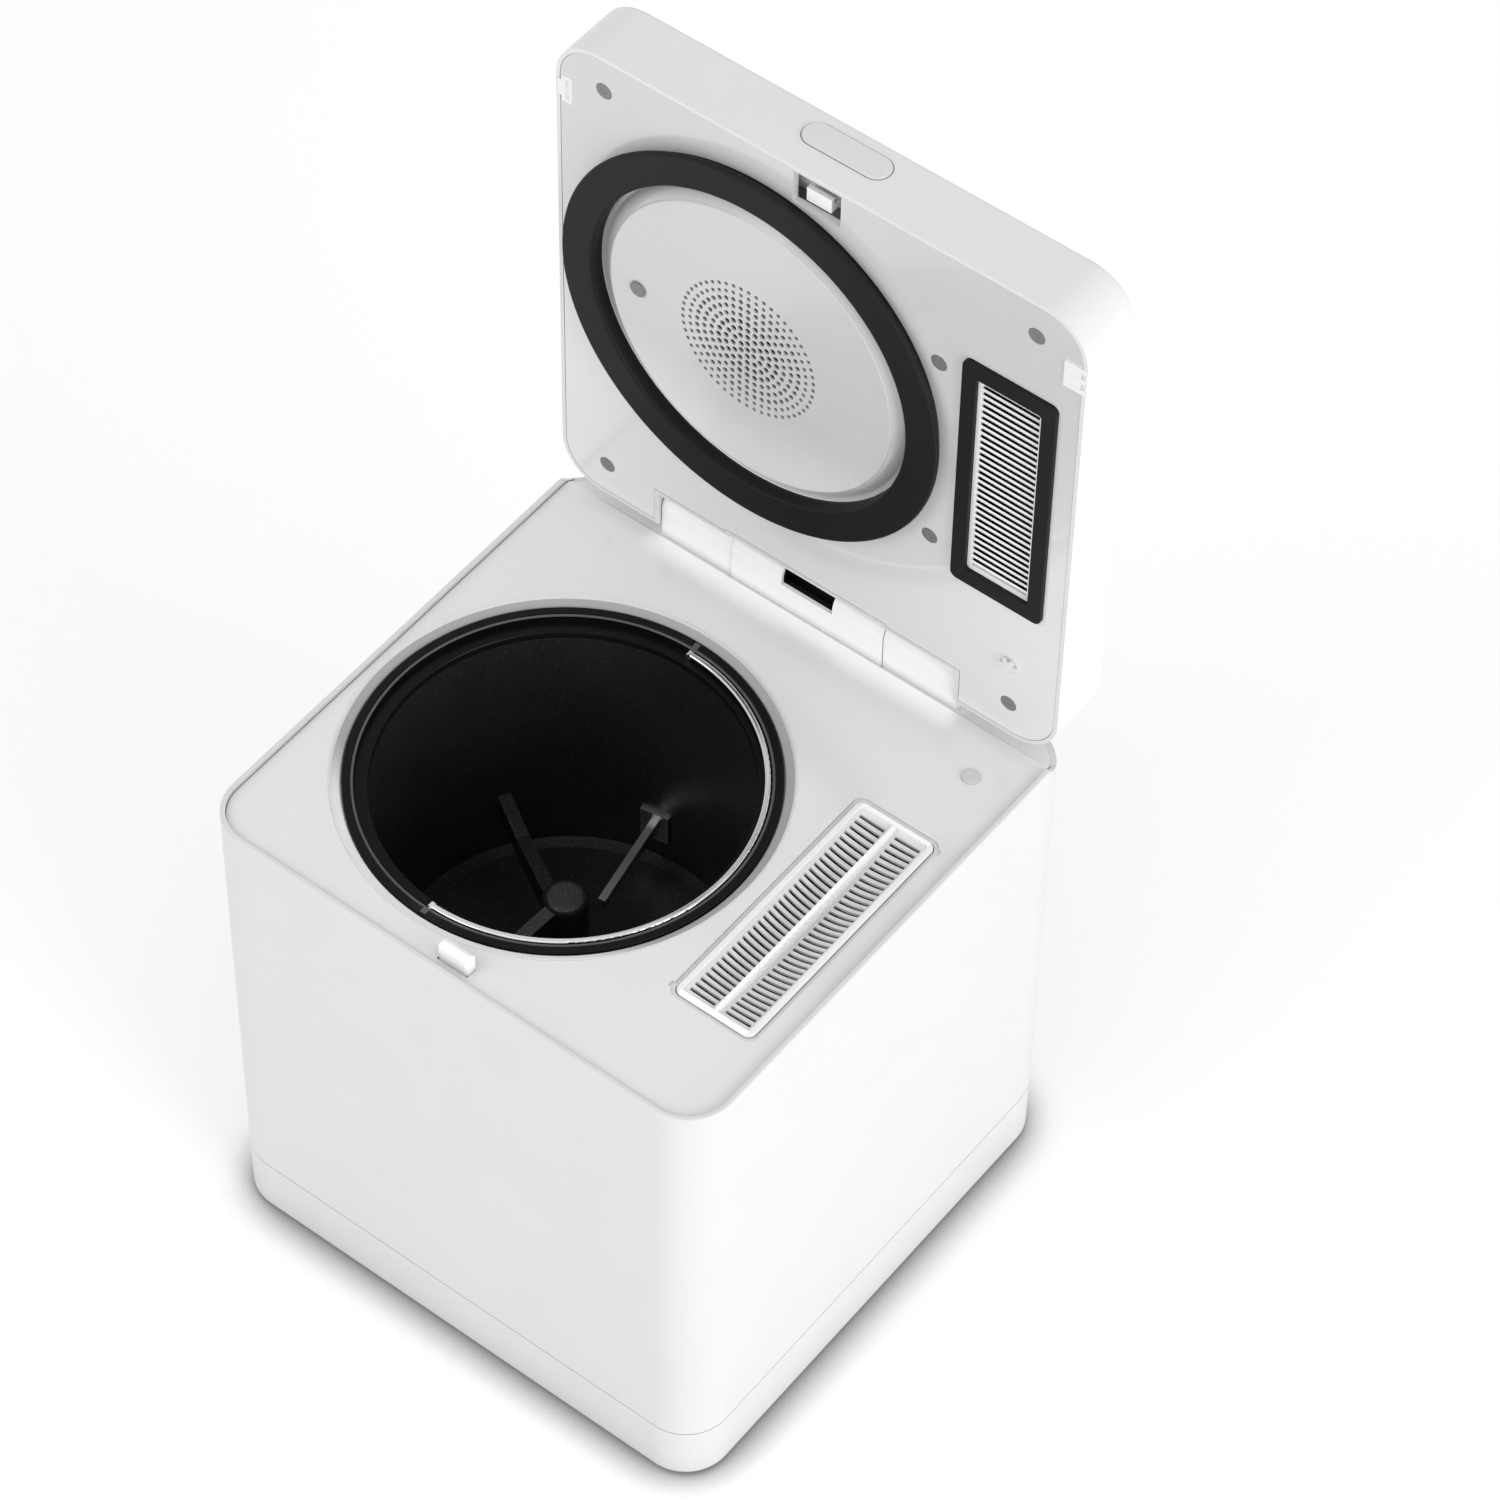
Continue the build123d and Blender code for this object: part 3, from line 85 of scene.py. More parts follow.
def material(name, tone, tone2=None, rough=0.4, rough2=None, metallic=0.0, grain=0.0, grain_scale=900.0,
             broad=0.0, broad_scale=14.0, mix_scale=22.0, coat=0.0, coat_rough=0.08, spec=0.5, aniso=0.0,
             edge_highlight=0.0, edge_highlight_tone=None, specks=None, brushed=None, sheen=0.0, occlusion_paint=None):
    """Plastic, rubber or metal with uneven tone, uneven gloss and moulded grain, with a painted highlight on convex
    edges and painted shade in hollows (painted light where the hollow factor is above one).
    """
    m = bpy.data.materials.new(name)
    m.use_nodes = True
    nt = m.node_tree
    nt.nodes.clear()
    out = node(nt, "ShaderNodeOutputMaterial")
    sh = node(nt, "ShaderNodeBsdfPrincipled")
    nt.links.new(sh.outputs[0], out.inputs[0])
    sh.inputs["Metallic"].default_value = metallic
    sh.inputs["Coat Weight"].default_value = coat
    sh.inputs["Coat Roughness"].default_value = coat_rough
    sh.inputs["Specular IOR Level"].default_value = spec
    sh.inputs["Anisotropic"].default_value = aniso
    sh.inputs["Sheen Weight"].default_value = sheen
    tc = node(nt, "ShaderNodeTexCoord")
    vec = tc.outputs["Object"]
    n1 = node(nt, "ShaderNodeTexNoise", Scale=mix_scale, Detail=5.0, Roughness=0.55)
    nt.links.new(vec, n1.inputs["Vector"])
    cr = node(nt, "ShaderNodeValToRGB")
    cr.color_ramp.elements[0].position = 0.3
    cr.color_ramp.elements[1].position = 0.72
    t2 = tone2 or tuple(c * 0.97 for c in tone)
    cr.color_ramp.elements[0].color = (*t2, 1)
    cr.color_ramp.elements[1].color = (*tone, 1)
    nt.links.new(n1.outputs["Fac"], cr.inputs["Fac"])
    colour = cr.outputs["Color"]
    if specks:
        sp_tone, sp_scale, sp_size = specks
        vo = node(nt, "ShaderNodeTexVoronoi", Scale=sp_scale)
        nt.links.new(vec, vo.inputs["Vector"])
        lt = node(nt, "ShaderNodeMath", operation="LESS_THAN")
        lt.inputs[1].default_value = sp_size
        nt.links.new(vo.outputs["Distance"], lt.inputs[0])
        mx = node(nt, "ShaderNodeMix", data_type="RGBA")
        mx.inputs[7].default_value = (*sp_tone, 1)
        nt.links.new(lt.outputs[0], mx.inputs[0])
        nt.links.new(colour, mx.inputs[6])
        colour = mx.outputs[2]
    # Painted highlight: convex edges, found by pointiness, are painted lighter.
    if edge_highlight > 0:
        geo = node(nt, "ShaderNodeNewGeometry")
        er = node(nt, "ShaderNodeValToRGB")
        er.color_ramp.elements[0].position = 0.52
        er.color_ramp.elements[1].position = 0.66
        er.color_ramp.elements[0].color = (0, 0, 0, 1)
        er.color_ramp.elements[1].color = (edge_highlight, edge_highlight, edge_highlight, 1)
        nt.links.new(geo.outputs["Pointiness"], er.inputs["Fac"])
        mx = node(nt, "ShaderNodeMix", data_type="RGBA")
        et = edge_highlight_tone or tuple(min(1.0, c * 1.6 + 0.02) for c in tone)
        mx.inputs[7].default_value = (*et, 1)
        nt.links.new(er.outputs["Color"], mx.inputs[0])
        nt.links.new(colour, mx.inputs[6])
        colour = mx.outputs[2]
    # Painted shade: hollows found by ambient occlusion within reach are painted towards tone times factor; a factor
    # above one paints light instead.
    if occlusion_paint:
        reach, depth, factor = (*occlusion_paint, 0.28)[:3]
        ao = node(nt, "ShaderNodeAmbientOcclusion", Distance=reach)
        ao.samples = 8
        am = node(nt, "ShaderNodeMapRange")
        am.inputs["From Min"].default_value = 0.25
        am.inputs["To Min"].default_value = depth
        am.inputs["To Max"].default_value = 0.0
        nt.links.new(ao.outputs["AO"], am.inputs["Value"])
        mx = node(nt, "ShaderNodeMix", data_type="RGBA")
        mx.inputs[7].default_value = (*[min(1.0, c * factor) for c in tone], 1)
        nt.links.new(am.outputs["Result"], mx.inputs[0])
        nt.links.new(colour, mx.inputs[6])
        colour = mx.outputs[2]
    nt.links.new(colour, sh.inputs["Base Color"])
    n2 = node(nt, "ShaderNodeTexNoise", Scale=mix_scale * 2.3, Detail=4.0, Roughness=0.6)
    nt.links.new(vec, n2.inputs["Vector"])
    rr = node(nt, "ShaderNodeMapRange")
    rr.inputs["To Min"].default_value = rough
    rr.inputs["To Max"].default_value = rough2 if rough2 is not None else min(1.0, rough * 1.25)
    nt.links.new(n2.outputs["Fac"], rr.inputs["Value"])
    nt.links.new(rr.outputs["Result"], sh.inputs["Roughness"])
    last = None
    if broad > 0:
        n3 = node(nt, "ShaderNodeTexNoise", Scale=broad_scale, Detail=2.0)
        nt.links.new(vec, n3.inputs["Vector"])
        b3 = node(nt, "ShaderNodeBump", Strength=1.0, Distance=broad)
        nt.links.new(n3.outputs["Fac"], b3.inputs["Height"])
        last = b3
    if grain > 0:
        src = vec
        if brushed:
            mp = node(nt, "ShaderNodeMapping")
            mp.inputs["Scale"].default_value = brushed
            nt.links.new(vec, mp.inputs["Vector"])
            src = mp.outputs["Vector"]
        n4 = node(nt, "ShaderNodeTexNoise", Scale=grain_scale, Detail=3.0, Roughness=0.6)
        nt.links.new(src, n4.inputs["Vector"])
        b4 = node(nt, "ShaderNodeBump", Strength=1.0, Distance=grain)
        nt.links.new(n4.outputs["Fac"], b4.inputs["Height"])
        if last:
            nt.links.new(last.outputs["Normal"], b4.inputs["Normal"])
        last = b4
    if last:
        nt.links.new(last.outputs["Normal"], sh.inputs["Normal"])
    return m


def bezel_painted_light(m, radius, soft, outer, outer2):
    """Painted highlight: beyond radius from the bucket's axis, and towards the front of the bucket, the tone turns to
    the lighter outer, itself mottled with outer2.
    """
    nt = m.node_tree
    sh = next(n for n in nt.nodes if n.type == "BSDF_PRINCIPLED")
    src = sh.inputs["Base Color"].links[0].from_socket
    tc = node(nt, "ShaderNodeTexCoord")
    mp = node(nt, "ShaderNodeMapping")
    mp.inputs["Location"].default_value = (-PX, -PY, 0)
    mp.inputs["Scale"].default_value = (1, 1, 0)
    nt.links.new(tc.outputs["Object"], mp.inputs["Vector"])
    ln = node(nt, "ShaderNodeVectorMath", operation="LENGTH")
    nt.links.new(mp.outputs["Vector"], ln.inputs[0])
    mr = node(nt, "ShaderNodeMapRange")
    mr.inputs["From Min"].default_value = radius - soft
    mr.inputs["From Max"].default_value = radius + soft
    nt.links.new(ln.outputs["Value"], mr.inputs["Value"])
    nz = node(nt, "ShaderNodeTexNoise", Scale=30.0, Detail=4.0)
    nt.links.new(tc.outputs["Object"], nz.inputs["Vector"])
    cr = node(nt, "ShaderNodeValToRGB")
    cr.color_ramp.elements[0].color = (*outer2, 1)
    cr.color_ramp.elements[1].color = (*outer, 1)
    nt.links.new(nz.outputs["Fac"], cr.inputs["Fac"])
    sx = node(nt, "ShaderNodeSeparateXYZ")
    nt.links.new(tc.outputs["Object"], sx.inputs[0])
    my = node(nt, "ShaderNodeMapRange", interpolation_type="SMOOTHSTEP")
    my.inputs["From Min"].default_value = PY - 0.045
    my.inputs["From Max"].default_value = PY - 0.080
    nt.links.new(sx.outputs["Y"], my.inputs["Value"])
    mm = node(nt, "ShaderNodeMath", operation="MAXIMUM")
    nt.links.new(mr.outputs["Result"], mm.inputs[0])
    nt.links.new(my.outputs["Result"], mm.inputs[1])
    mx = node(nt, "ShaderNodeMix", data_type="RGBA")
    nt.links.new(mm.outputs[0], mx.inputs[0])
    nt.links.new(src, mx.inputs[6])
    nt.links.new(cr.outputs["Color"], mx.inputs[7])
    nt.links.new(mx.outputs[2], sh.inputs["Base Color"])


# Several materials below paint shade into their hollows and a highlight onto their convex edges.
M = {
    "body_white": material("body_white", (0.665, 0.665, 0.67), (0.65, 0.65, 0.658), rough=0.34, rough2=0.42, grain=5e-6,
                           grain_scale=1500, broad=3e-6, broad_scale=9, coat=0.12, coat_rough=0.25, occlusion_paint=(0.004, 0.5)),
    "deck_white": material("deck_white", (0.735, 0.735, 0.742), (0.72, 0.72, 0.73), rough=0.15, rough2=0.22, grain=1.0e-6,
                           grain_scale=1400, broad=5e-6, broad_scale=7, coat=0.55, coat_rough=0.04, occlusion_paint=(0.007, 0.4)),
    "trim_white": material("trim_white", (0.97, 0.97, 0.97), (0.95, 0.95, 0.955), rough=0.22, rough2=0.3, grain=1.5e-6,
                           grain_scale=1500, coat=0.6, coat_rough=0.12, occlusion_paint=(0.007, 0.62)),
    "bezel_grey": material("bezel_grey", (0.375, 0.375, 0.385), (0.35, 0.35, 0.36), rough=0.2, rough2=0.28, grain=2e-6, coat=0.4),
    "rubber_black": material("rubber_black", (0.0075, 0.0075, 0.008), (0.0055, 0.0055, 0.006), rough=0.5, rough2=0.64, grain=10e-6,
                             grain_scale=1100, broad=1.0e-5, broad_scale=30, spec=0.21, edge_highlight=0.16,
                             edge_highlight_tone=(0.035, 0.035, 0.037)),
    "rubber_white": material("rubber_white", (0.80, 0.80, 0.81), rough=0.4, rough2=0.5, grain=6e-6),
    "rim_black": material("rim_black", (0.005, 0.005, 0.0056), (0.0035, 0.0035, 0.004), rough=0.26, rough2=0.36, grain=3e-6, spec=0.11,
                          edge_highlight=0.3, edge_highlight_tone=(0.04, 0.04, 0.044)),
    "rim_grey": material("rim_grey", (0.085, 0.085, 0.088), (0.070, 0.070, 0.074), rough=0.26, rough2=0.36, grain=2e-6, spec=0.4),
    "inner_black": material("inner_black", (0.014, 0.014, 0.015), rough=0.45, rough2=0.6, grain=10e-6, spec=0.3),
    "bucket_coat": material("bucket_coat", (0.026, 0.026, 0.028), (0.018, 0.018, 0.020), rough=0.28, rough2=0.4, metallic=0.3,
                            grain=10e-6, grain_scale=700, specks=((0.14, 0.14, 0.15), 620, 0.16)),
    "cast_metal": material("cast_metal", (0.50, 0.50, 0.51), (0.42, 0.42, 0.43), rough=0.42, rough2=0.6, metallic=0.9,
                           grain=35e-6, grain_scale=420),
    "gear_case": material("gear_case", (0.11, 0.11, 0.12), rough=0.45, rough2=0.6, grain=14e-6, edge_highlight=0.5),
    "bronze": material("bronze", (0.45, 0.30, 0.14), (0.36, 0.23, 0.10), rough=0.35, rough2=0.5, metallic=1.0, grain=10e-6),
    "motor_can": material("motor_can", (0.27, 0.28, 0.30), (0.22, 0.23, 0.25), rough=0.3, rough2=0.42, metallic=0.8, grain=8e-6),
    "board_green": material("board_green", (0.012, 0.12, 0.05), (0.010, 0.09, 0.04), rough=0.25, rough2=0.4, grain=12e-6,
                            specks=((0.42, 0.40, 0.32), 260, 0.18)),
    "contact_brass": material("contact_brass", (0.60, 0.44, 0.18), (0.5, 0.36, 0.15), rough=0.25, rough2=0.4, metallic=1.0, grain=4e-6),
    "screw_steel": material("screw_steel", (0.52, 0.52, 0.53), (0.43, 0.43, 0.44), rough=0.26, rough2=0.4, metallic=1.0, grain=6e-6,
                            grain_scale=2200),
    "touch_black": material("touch_black", (0.012, 0.012, 0.014), rough=0.06, rough2=0.12, grain=5e-7, coat=1.0, coat_rough=0.02),
    "dish_grey": material("dish_grey", (0.590, 0.590, 0.600), (0.575, 0.575, 0.588), rough=0.22, rough2=0.3, grain=1.2e-6, coat=0.35,
                          coat_rough=0.08, broad=5e-6, broad_scale=9, occlusion_paint=(0.008, 0.35)),
    "plug_grey": material("plug_grey", (0.20, 0.20, 0.205), (0.17, 0.17, 0.175), rough=0.4, rough2=0.5, grain=9e-6),
    "plunger_grey": material("plunger_grey", (0.60, 0.60, 0.61), (0.56, 0.56, 0.57), rough=0.3, rough2=0.4, grain=4e-6),
    "blade_steel": material("blade_steel", (0.50, 0.50, 0.51), (0.42, 0.42, 0.43), rough=0.28, rough2=0.45, metallic=1.0,
                            grain=16e-6, grain_scale=260, brushed=(1.0, 1.0, 12.0)),
    "polished": material("polished", (0.78, 0.78, 0.79), (0.72, 0.72, 0.73), rough=0.10, rough2=0.18, metallic=1.0, grain=1.2e-6,
                         grain_scale=1800),
    "gear_white": material("gear_white", (0.70, 0.68, 0.60), (0.66, 0.64, 0.56), rough=0.4, rough2=0.5, grain=6e-6),
    "filter_grey": material("filter_grey", (0.14, 0.14, 0.145), rough=0.5, rough2=0.65, grain=14e-6),
    "carbon": material("carbon", (0.012, 0.012, 0.012), (0.03, 0.03, 0.03), rough=0.8, rough2=0.95, grain=2.5e-4, grain_scale=300),
}
grille_white = material("grille_white", (0.97, 0.97, 0.97), (0.95, 0.95, 0.955), rough=0.22, rough2=0.3, grain=1.5e-6,
                        grain_scale=1500, coat=0.4, coat_rough=0.12, occlusion_paint=(0.003, 0.25))
hinge_white = material("hinge_white", (0.97, 0.97, 0.97), (0.95, 0.95, 0.955), rough=0.22, rough2=0.3, grain=1.5e-6,
                       grain_scale=1500, coat=0.6, coat_rough=0.12, occlusion_paint=(0.005, 0.45))
# Painted light: panel_white paints its hollows lighter (factor 1.75), lifting the shade beside the gasket and in the
# latch recess.
panel_white = material("panel_white", (0.735, 0.735, 0.742), (0.72, 0.72, 0.73), rough=0.15, rough2=0.22, grain=1.0e-6,
                       grain_scale=1400, broad=5e-6, broad_scale=7, coat=0.45, coat_rough=0.04, occlusion_paint=(0.020, 1.0, 1.75))
slat_white = material("slat_white", (0.97, 0.97, 0.97), (0.95, 0.95, 0.955), rough=0.22, rough2=0.3, grain=1.5e-6,
                      grain_scale=1500, coat=0.4, coat_rough=0.12, occlusion_paint=(0.003, 0.25))
# Painted light: lid_white is the body's plastic painted lighter for the lid's shell.
lid_white = material("lid_white", (0.715, 0.715, 0.72), (0.70, 0.70, 0.708), rough=0.34, rough2=0.42, grain=5e-6,
                     grain_scale=1500, broad=3e-6, broad_scale=9, coat=0.12, coat_rough=0.25, occlusion_paint=(0.004, 0.4))


def sunk_painted_shade(m, z0, z1, x_mid, half, tone, tone2):
    """Painted shade: below z1 the plastic is painted greyer, as shade in the sunken floor, except on the fin within
    half of x_mid.
    """
    nt = m.node_tree
    sh = next(n for n in nt.nodes if n.type == "BSDF_PRINCIPLED")
    src = sh.inputs["Base Color"].links[0].from_socket
    tc = node(nt, "ShaderNodeTexCoord")
    sx = node(nt, "ShaderNodeSeparateXYZ")
    nt.links.new(tc.outputs["Object"], sx.inputs[0])
    mz = node(nt, "ShaderNodeMapRange")
    mz.inputs["From Min"].default_value = z1
    mz.inputs["From Max"].default_value = z0
    nt.links.new(sx.outputs["Z"], mz.inputs["Value"])
    sub = node(nt, "ShaderNodeMath", operation="SUBTRACT")
    sub.inputs[1].default_value = x_mid
    nt.links.new(sx.outputs["X"], sub.inputs[0])
    ab = node(nt, "ShaderNodeMath", operation="ABSOLUTE")
    nt.links.new(sub.outputs[0], ab.inputs[0])
    mh = node(nt, "ShaderNodeMapRange")
    mh.inputs["From Min"].default_value = half
    mh.inputs["From Max"].default_value = half + 0.0002
    nt.links.new(ab.outputs[0], mh.inputs["Value"])
    ml = node(nt, "ShaderNodeMath", operation="MULTIPLY")
    nt.links.new(mz.outputs["Result"], ml.inputs[0])
    nt.links.new(mh.outputs["Result"], ml.inputs[1])
    nz = node(nt, "ShaderNodeTexNoise", Scale=60.0, Detail=4.0)
    nt.links.new(tc.outputs["Object"], nz.inputs["Vector"])
    cr = node(nt, "ShaderNodeValToRGB")
    cr.color_ramp.elements[0].color = (*tone2, 1)
    cr.color_ramp.elements[1].color = (*tone, 1)
    nt.links.new(nz.outputs["Fac"], cr.inputs["Fac"])
    mx = node(nt, "ShaderNodeMix", data_type="RGBA")
    nt.links.new(ml.outputs[0], mx.inputs[0])
    nt.links.new(src, mx.inputs[6])
    nt.links.new(cr.outputs["Color"], mx.inputs[7])
    nt.links.new(mx.outputs[2], sh.inputs["Base Color"])


def axis_mix(m, axis, v0, v1, tone, tone2, fold=None, blend="MIX"):
    """Along one axis the tone turns from its own at v0 to tone at v1; fold measures from a middle."""
    nt = m.node_tree
    sh = next(n for n in nt.nodes if n.type == "BSDF_PRINCIPLED")
    src = sh.inputs["Base Color"].links[0].from_socket
    tc = node(nt, "ShaderNodeTexCoord")
    sx = node(nt, "ShaderNodeSeparateXYZ")
    nt.links.new(tc.outputs["Object"], sx.inputs[0])
    value = sx.outputs[axis]
    if fold is not None:
        sub = node(nt, "ShaderNodeMath", operation="SUBTRACT")
        sub.inputs[1].default_value = fold
        nt.links.new(value, sub.inputs[0])
        ab = node(nt, "ShaderNodeMath", operation="ABSOLUTE")
        nt.links.new(sub.outputs[0], ab.inputs[0])
        value = ab.outputs[0]
    mv = node(nt, "ShaderNodeMapRange", interpolation_type="SMOOTHSTEP")
    mv.inputs["From Min"].default_value = v0
    mv.inputs["From Max"].default_value = v1
    nt.links.new(value, mv.inputs["Value"])
    nz = node(nt, "ShaderNodeTexNoise", Scale=40.0, Detail=4.0)
    nt.links.new(tc.outputs["Object"], nz.inputs["Vector"])
    cr = node(nt, "ShaderNodeValToRGB")
    cr.color_ramp.elements[0].color = (*tone2, 1)
    cr.color_ramp.elements[1].color = (*tone, 1)
    nt.links.new(nz.outputs["Fac"], cr.inputs["Fac"])
    mx = node(nt, "ShaderNodeMix", data_type="RGBA", blend_type=blend)
    nt.links.new(mv.outputs["Result"], mx.inputs[0])
    nt.links.new(src, mx.inputs[6])
    nt.links.new(cr.outputs["Color"], mx.inputs[7])
    nt.links.new(mx.outputs[2], sh.inputs["Base Color"])


axis_mix(grille_white, "X", 0.0195, 0.0200, (0.84, 0.84, 0.845), (0.81, 0.81, 0.82), fold=0.11075)
# Painted shade on the grille's sunken slat floor.
sunk_painted_shade(grille_white, 0.2999, 0.3008, 0.11075, 0.0012, (0.69, 0.69, 0.695), (0.63, 0.63, 0.635))
# Painted shade: the lid's inner panel is darker towards the top.
axis_mix(panel_white, "Z", 0.37, 0.60, (0.82, 0.82, 0.825), (0.79, 0.79, 0.80), blend="MULTIPLY")
# Painted shadow: the top of the hinge barrel is painted grey, as shade under the lid's notch edge.
axis_mix(hinge_white, "Z", 0.3250, 0.3302, (0.42, 0.42, 0.425), (0.38, 0.38, 0.385))
# Painted light: the lid's dish is lighter towards the bottom.
axis_mix(M["dish_grey"], "Z", 0.455, 0.398, (0.76, 0.76, 0.77), (0.73, 0.73, 0.745))
# Painted highlight on the bezel's outer lip and front.
bezel_painted_light(M["bezel_grey"], 0.1104, 0.0002, (0.80, 0.80, 0.805), (0.77, 0.77, 0.78))


def hinge_cove_painted_light(m, y0, y1, half, tone, tone2):
    """Painted light: the cove in front of the hinge is painted whiter, fading into the deck."""
    nt = m.node_tree
    sh = next(n for n in nt.nodes if n.type == "BSDF_PRINCIPLED")
    src = sh.inputs["Base Color"].links[0].from_socket
    tc = node(nt, "ShaderNodeTexCoord")
    sx = node(nt, "ShaderNodeSeparateXYZ")
    nt.links.new(tc.outputs["Object"], sx.inputs[0])
    my = node(nt, "ShaderNodeMapRange", interpolation_type="SMOOTHSTEP")
    my.inputs["From Min"].default_value = y0
    my.inputs["From Max"].default_value = y1
    nt.links.new(sx.outputs["Y"], my.inputs["Value"])
    ab = node(nt, "ShaderNodeMath", operation="ABSOLUTE")
    nt.links.new(sx.outputs["X"], ab.inputs[0])
    mxr = node(nt, "ShaderNodeMapRange", interpolation_type="SMOOTHSTEP")
    mxr.inputs["From Min"].default_value = half + 0.006
    mxr.inputs["From Max"].default_value = half - 0.004
    nt.links.new(ab.outputs[0], mxr.inputs["Value"])
    mz = node(nt, "ShaderNodeMapRange", interpolation_type="SMOOTHSTEP")
    mz.inputs["From Min"].default_value = 0.290
    mz.inputs["From Max"].default_value = 0.295
    nt.links.new(sx.outputs["Z"], mz.inputs["Value"])
    m1 = node(nt, "ShaderNodeMath", operation="MULTIPLY")
    nt.links.new(my.outputs["Result"], m1.inputs[0])
    nt.links.new(mxr.outputs["Result"], m1.inputs[1])
    mt = node(nt, "ShaderNodeMapRange")
    mt.inputs["From Min"].default_value = 0.3045
    mt.inputs["From Max"].default_value = 0.3035
    nt.links.new(sx.outputs["Z"], mt.inputs["Value"])
    m3 = node(nt, "ShaderNodeMath", operation="MULTIPLY")
    nt.links.new(mz.outputs["Result"], m3.inputs[0])
    nt.links.new(mt.outputs["Result"], m3.inputs[1])
    m2 = node(nt, "ShaderNodeMath", operation="MULTIPLY")
    nt.links.new(m1.outputs[0], m2.inputs[0])
    nt.links.new(m3.outputs[0], m2.inputs[1])
    nz = node(nt, "ShaderNodeTexNoise", Scale=26.0, Detail=4.0)
    nt.links.new(tc.outputs["Object"], nz.inputs["Vector"])
    cr = node(nt, "ShaderNodeValToRGB")
    cr.color_ramp.elements[0].color = (*tone2, 1)
    cr.color_ramp.elements[1].color = (*tone, 1)
    nt.links.new(nz.outputs["Fac"], cr.inputs["Fac"])
    mx = node(nt, "ShaderNodeMix", data_type="RGBA")
    nt.links.new(m2.outputs[0], mx.inputs[0])
    nt.links.new(src, mx.inputs[6])
    nt.links.new(cr.outputs["Color"], mx.inputs[7])
    nt.links.new(mx.outputs[2], sh.inputs["Base Color"])


# Painted light on the deck's cove in front of the hinge.
hinge_cove_painted_light(M["deck_white"], AY - 0.030, AY - 0.014, 0.0925, (0.95, 0.95, 0.95), (0.93, 0.93, 0.935))

record = frame["record"]
slot_of = {s["node"]: s["material_slot"] for s in record["subparts"]}
own = {"filter_grille": grille_white, "lid_inner_panel": panel_white, "hinge_cover": hinge_white,
       "hinge_knuckle_left": hinge_white, "hinge_knuckle_right": hinge_white, "lid_grille": slat_white,
       "lid_shell": lid_white}
for name, obj in N.items():
    m = own.get(name) or M[slot_of[name]]
    if not obj.data.materials:
        obj.data.materials.append(m)
    for i in range(len(obj.data.materials)):
        obj.data.materials[i] = m


# ------------------------------------------------------------------ soft ring gasket of the lid
# (radius, height above the closed lid's own zero): a lip on a narrower foot
LIP = [(0.1060, 0.3050), (0.1060, 0.3036), (0.1064, 0.3026), (0.1080, 0.3014), (0.1094, 0.3006), (0.10995, 0.2997), (0.1101, 0.2988),
       (0.1100, 0.2981), (0.1096, 0.29755), (0.1091, 0.29735), (0.1085, 0.2973), (0.1078, 0.2973), (0.1010, 0.29725), (0.0940, 0.2973),
       (0.0933, 0.2973), (0.0927, 0.29735), (0.0922, 0.29755), (0.0918, 0.2981), (0.0917, 0.2988), (0.0916, 0.3000), (0.0916, 0.3030),
       (0.0916, 0.3050)]
SEG = 192
bm = bmesh.new()
rings = []
for k in range(SEG):
    a = 2 * math.pi * k / SEG
    ring = []
    for r, zc in LIP:
        wave = 1.0 + 0.00012 * math.sin(7 * a) * (1 if zc < 0.299 else 0)
        x = PX + r * wave * math.cos(a)
        yc = PY - SY + r * wave * math.sin(a)
        ring.append(bm.verts.new((x, zc - 0.1863, 0.4605 - yc)))
    rings.append(ring)
for k in range(SEG):
    r0, r1 = rings[k], rings[(k + 1) % SEG]
    for i in range(len(LIP)):
        j = (i + 1) % len(LIP)
        bm.faces.new((r0[i], r0[j], r1[j], r1[i]))
bmesh.ops.recalc_face_normals(bm, faces=bm.faces)
me = bpy.data.meshes.new("soft_ring_gasket")
bm.to_mesh(me)
bm.free()
for f in me.polygons:
    f.use_smooth = True
soft_ring = bpy.data.objects.new("soft_ring_gasket", me)
scene.collection.objects.link(soft_ring)
soft_ring.data.materials.append(M["rubber_black"])
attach(soft_ring, "lid")
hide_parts("lid_gasket")
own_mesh(soft_ring)


# ------------------------------------------------------------------ spring of the latch
# A copy of the spring's mesh takes its place and rides with the lid.
coil = bpy.data.objects.new("latch_coil", N["latch_spring"].data.copy())
scene.collection.objects.link(coil)
coil.matrix_world = N["latch_spring"].matrix_world.copy()
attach(coil, "lid")
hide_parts("latch_spring")
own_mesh(coil)


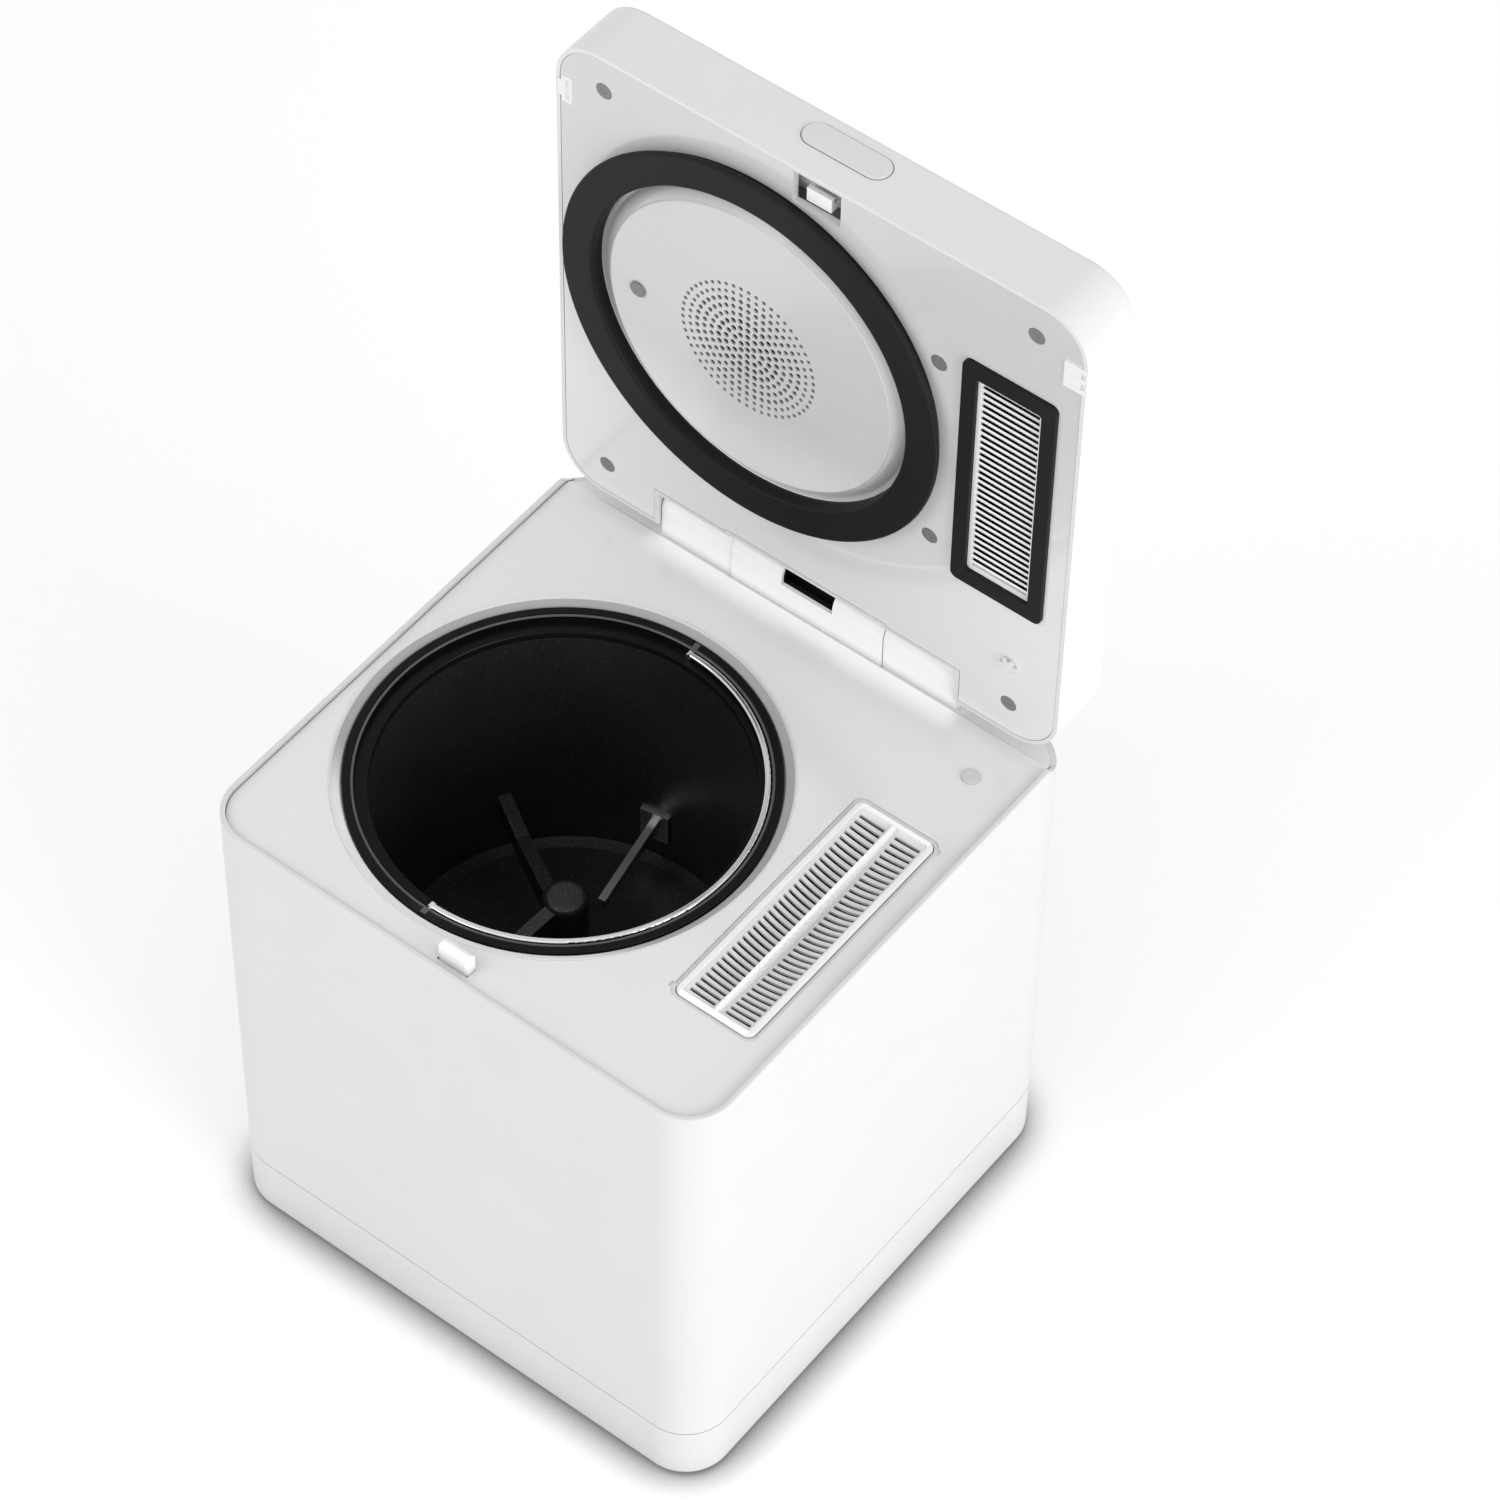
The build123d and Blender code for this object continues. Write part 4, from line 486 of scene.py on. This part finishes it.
# ------------------------------------------------------------------ rear corners of the body
# A filler closes the shell's rounded corner under the trough of the lid, flush with both.
# Numbers are millimetres from the centre of the corner's rounding.
def corner_filler(side):
    cx, cy, top_y, top_z = 125.0, 122.0, 141.35, 319.15
    a0, a1 = math.acos(22.3 / 25.0), math.asin(22.4 / 25.0)
    line = [(22.3, 6.0)]
    line += [(25.0 * math.cos(a0 + (a1 - a0) * i / 36), 25.0 * math.sin(a0 + (a1 - a0) * i / 36)) for i in range(37)]
    line += [(6.0, 22.4)]
    b0, b1 = math.atan2(21.22, 6.0), math.atan2(6.0, 21.22)
    line += [(22.05 * math.cos(b0 + (b1 - b0) * i / 24), 22.05 * math.sin(b0 + (b1 - b0) * i / 24)) for i in range(25)]
    low, high = [], []
    for u, v in line:
        y = cy + v
        z = min(298.4, top_z - math.sqrt(22.72 ** 2 - (y - top_y) ** 2))
        pos = (side * (cx + u) / 1000, y / 1000 + SY)
        low.append((pos[0], pos[1], 0.2899))
        high.append((pos[0], pos[1], z / 1000))
    bm = bmesh.new()
    vl = [bm.verts.new(c) for c in low]
    vh = [bm.verts.new(c) for c in high]
    for i in range(len(vl)):
        j = (i + 1) % len(vl)
        bm.faces.new((vl[i], vl[j], vh[j], vh[i]))
    bm.faces.new(vl)
    bm.faces.new(vh)
    bmesh.ops.triangulate(bm, faces=[f for f in bm.faces if len(f.verts) > 4])
    bmesh.ops.recalc_face_normals(bm, faces=bm.faces)
    me = bpy.data.meshes.new("rear_corner")
    bm.to_mesh(me)
    bm.free()
    o = bpy.data.objects.new("rear_corner_left" if side < 0 else "rear_corner_right", me)
    scene.collection.objects.link(o)
    o.data.materials.append(M["body_white"])
    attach(o, "housing")


for side in (-1, 1):
    corner_filler(side)


# ------------------------------------------------------------------ stage and lights
def mesh_obj(name, verts, faces):
    me = bpy.data.meshes.new(name)
    me.from_pydata([tuple(v) for v in verts], [], faces)
    me.update()
    o = bpy.data.objects.new(name, me)
    scene.collection.objects.link(o)
    return o


floor = mesh_obj("floor", [(-8, -8, 0), (8, -8, 0), (8, 8, 0), (-8, 8, 0)], [(0, 1, 2, 3)])
fm = bpy.data.materials.new("floor_white")
fm.use_nodes = True
b = fm.node_tree.nodes["Principled BSDF"]
b.inputs["Base Color"].default_value = (0.86, 0.86, 0.86, 1)
b.inputs["Roughness"].default_value = 0.9
b.inputs["Specular IOR Level"].default_value = 0.1
b.inputs["Emission Color"].default_value = (1, 1, 1, 1)
b.inputs["Emission Strength"].default_value = 0.15
fn = fm.node_tree
# Painted contact shadow: ambient occlusion within 26 mm darkens the floor's colour and glow next to the object.
fao = node(fn, "ShaderNodeAmbientOcclusion", Distance=0.026)
fao.samples = 8
fmr = node(fn, "ShaderNodeMapRange", interpolation_type="SMOOTHSTEP")
fmr.inputs["From Min"].default_value = 0.40
fmr.inputs["From Max"].default_value = 0.98
fn.links.new(fao.outputs["AO"], fmr.inputs["Value"])
for socket, low, high in (("Base Color", 0.33, 0.86), ("Emission Color", 0.2, 1.0)):
    fmx = node(fn, "ShaderNodeMix", data_type="RGBA")
    fmx.inputs[6].default_value = (low, low, low, 1)
    fmx.inputs[7].default_value = (high, high, high, 1)
    fn.links.new(fmr.outputs["Result"], fmx.inputs[0])
    fn.links.new(fmx.outputs[2], b.inputs[socket])
floor.data.materials.append(fm)

world = bpy.data.worlds.new("world")
scene.world = world
world.use_nodes = True
wb = world.node_tree.nodes["Background"]
wb.inputs["Color"].default_value = (1, 1, 1, 1)
wb.inputs["Strength"].default_value = 0.82


def area(name, loc, target, size, power, size_y=None):
    d = bpy.data.lights.new(name, "AREA")
    d.energy = power
    d.size = size
    if size_y:
        d.shape = "RECTANGLE"
        d.size_y = size_y
    o = bpy.data.objects.new(name, d)
    scene.collection.objects.link(o)
    o.location = loc
    o.rotation_euler = (Vector(target) - Vector(loc)).to_track_quat("-Z", "Y").to_euler()
    return o


area("key_right", (2.75, -0.45, 1.0), (0.1, 0, 0.2), 1.8, 41)
area("top_soft", (0.2, -0.9, 3.0), (0, 0, 0.3), 2.2, 4)
area("key_front", (-0.95, -2.0, 2.15), (0, 0.1, 0.3), 1.5, 14)

scene.view_settings.view_transform = "Standard"
scene.view_settings.look = "None"
scene.view_settings.exposure = 0.0
scene.view_settings.gamma = 1.0

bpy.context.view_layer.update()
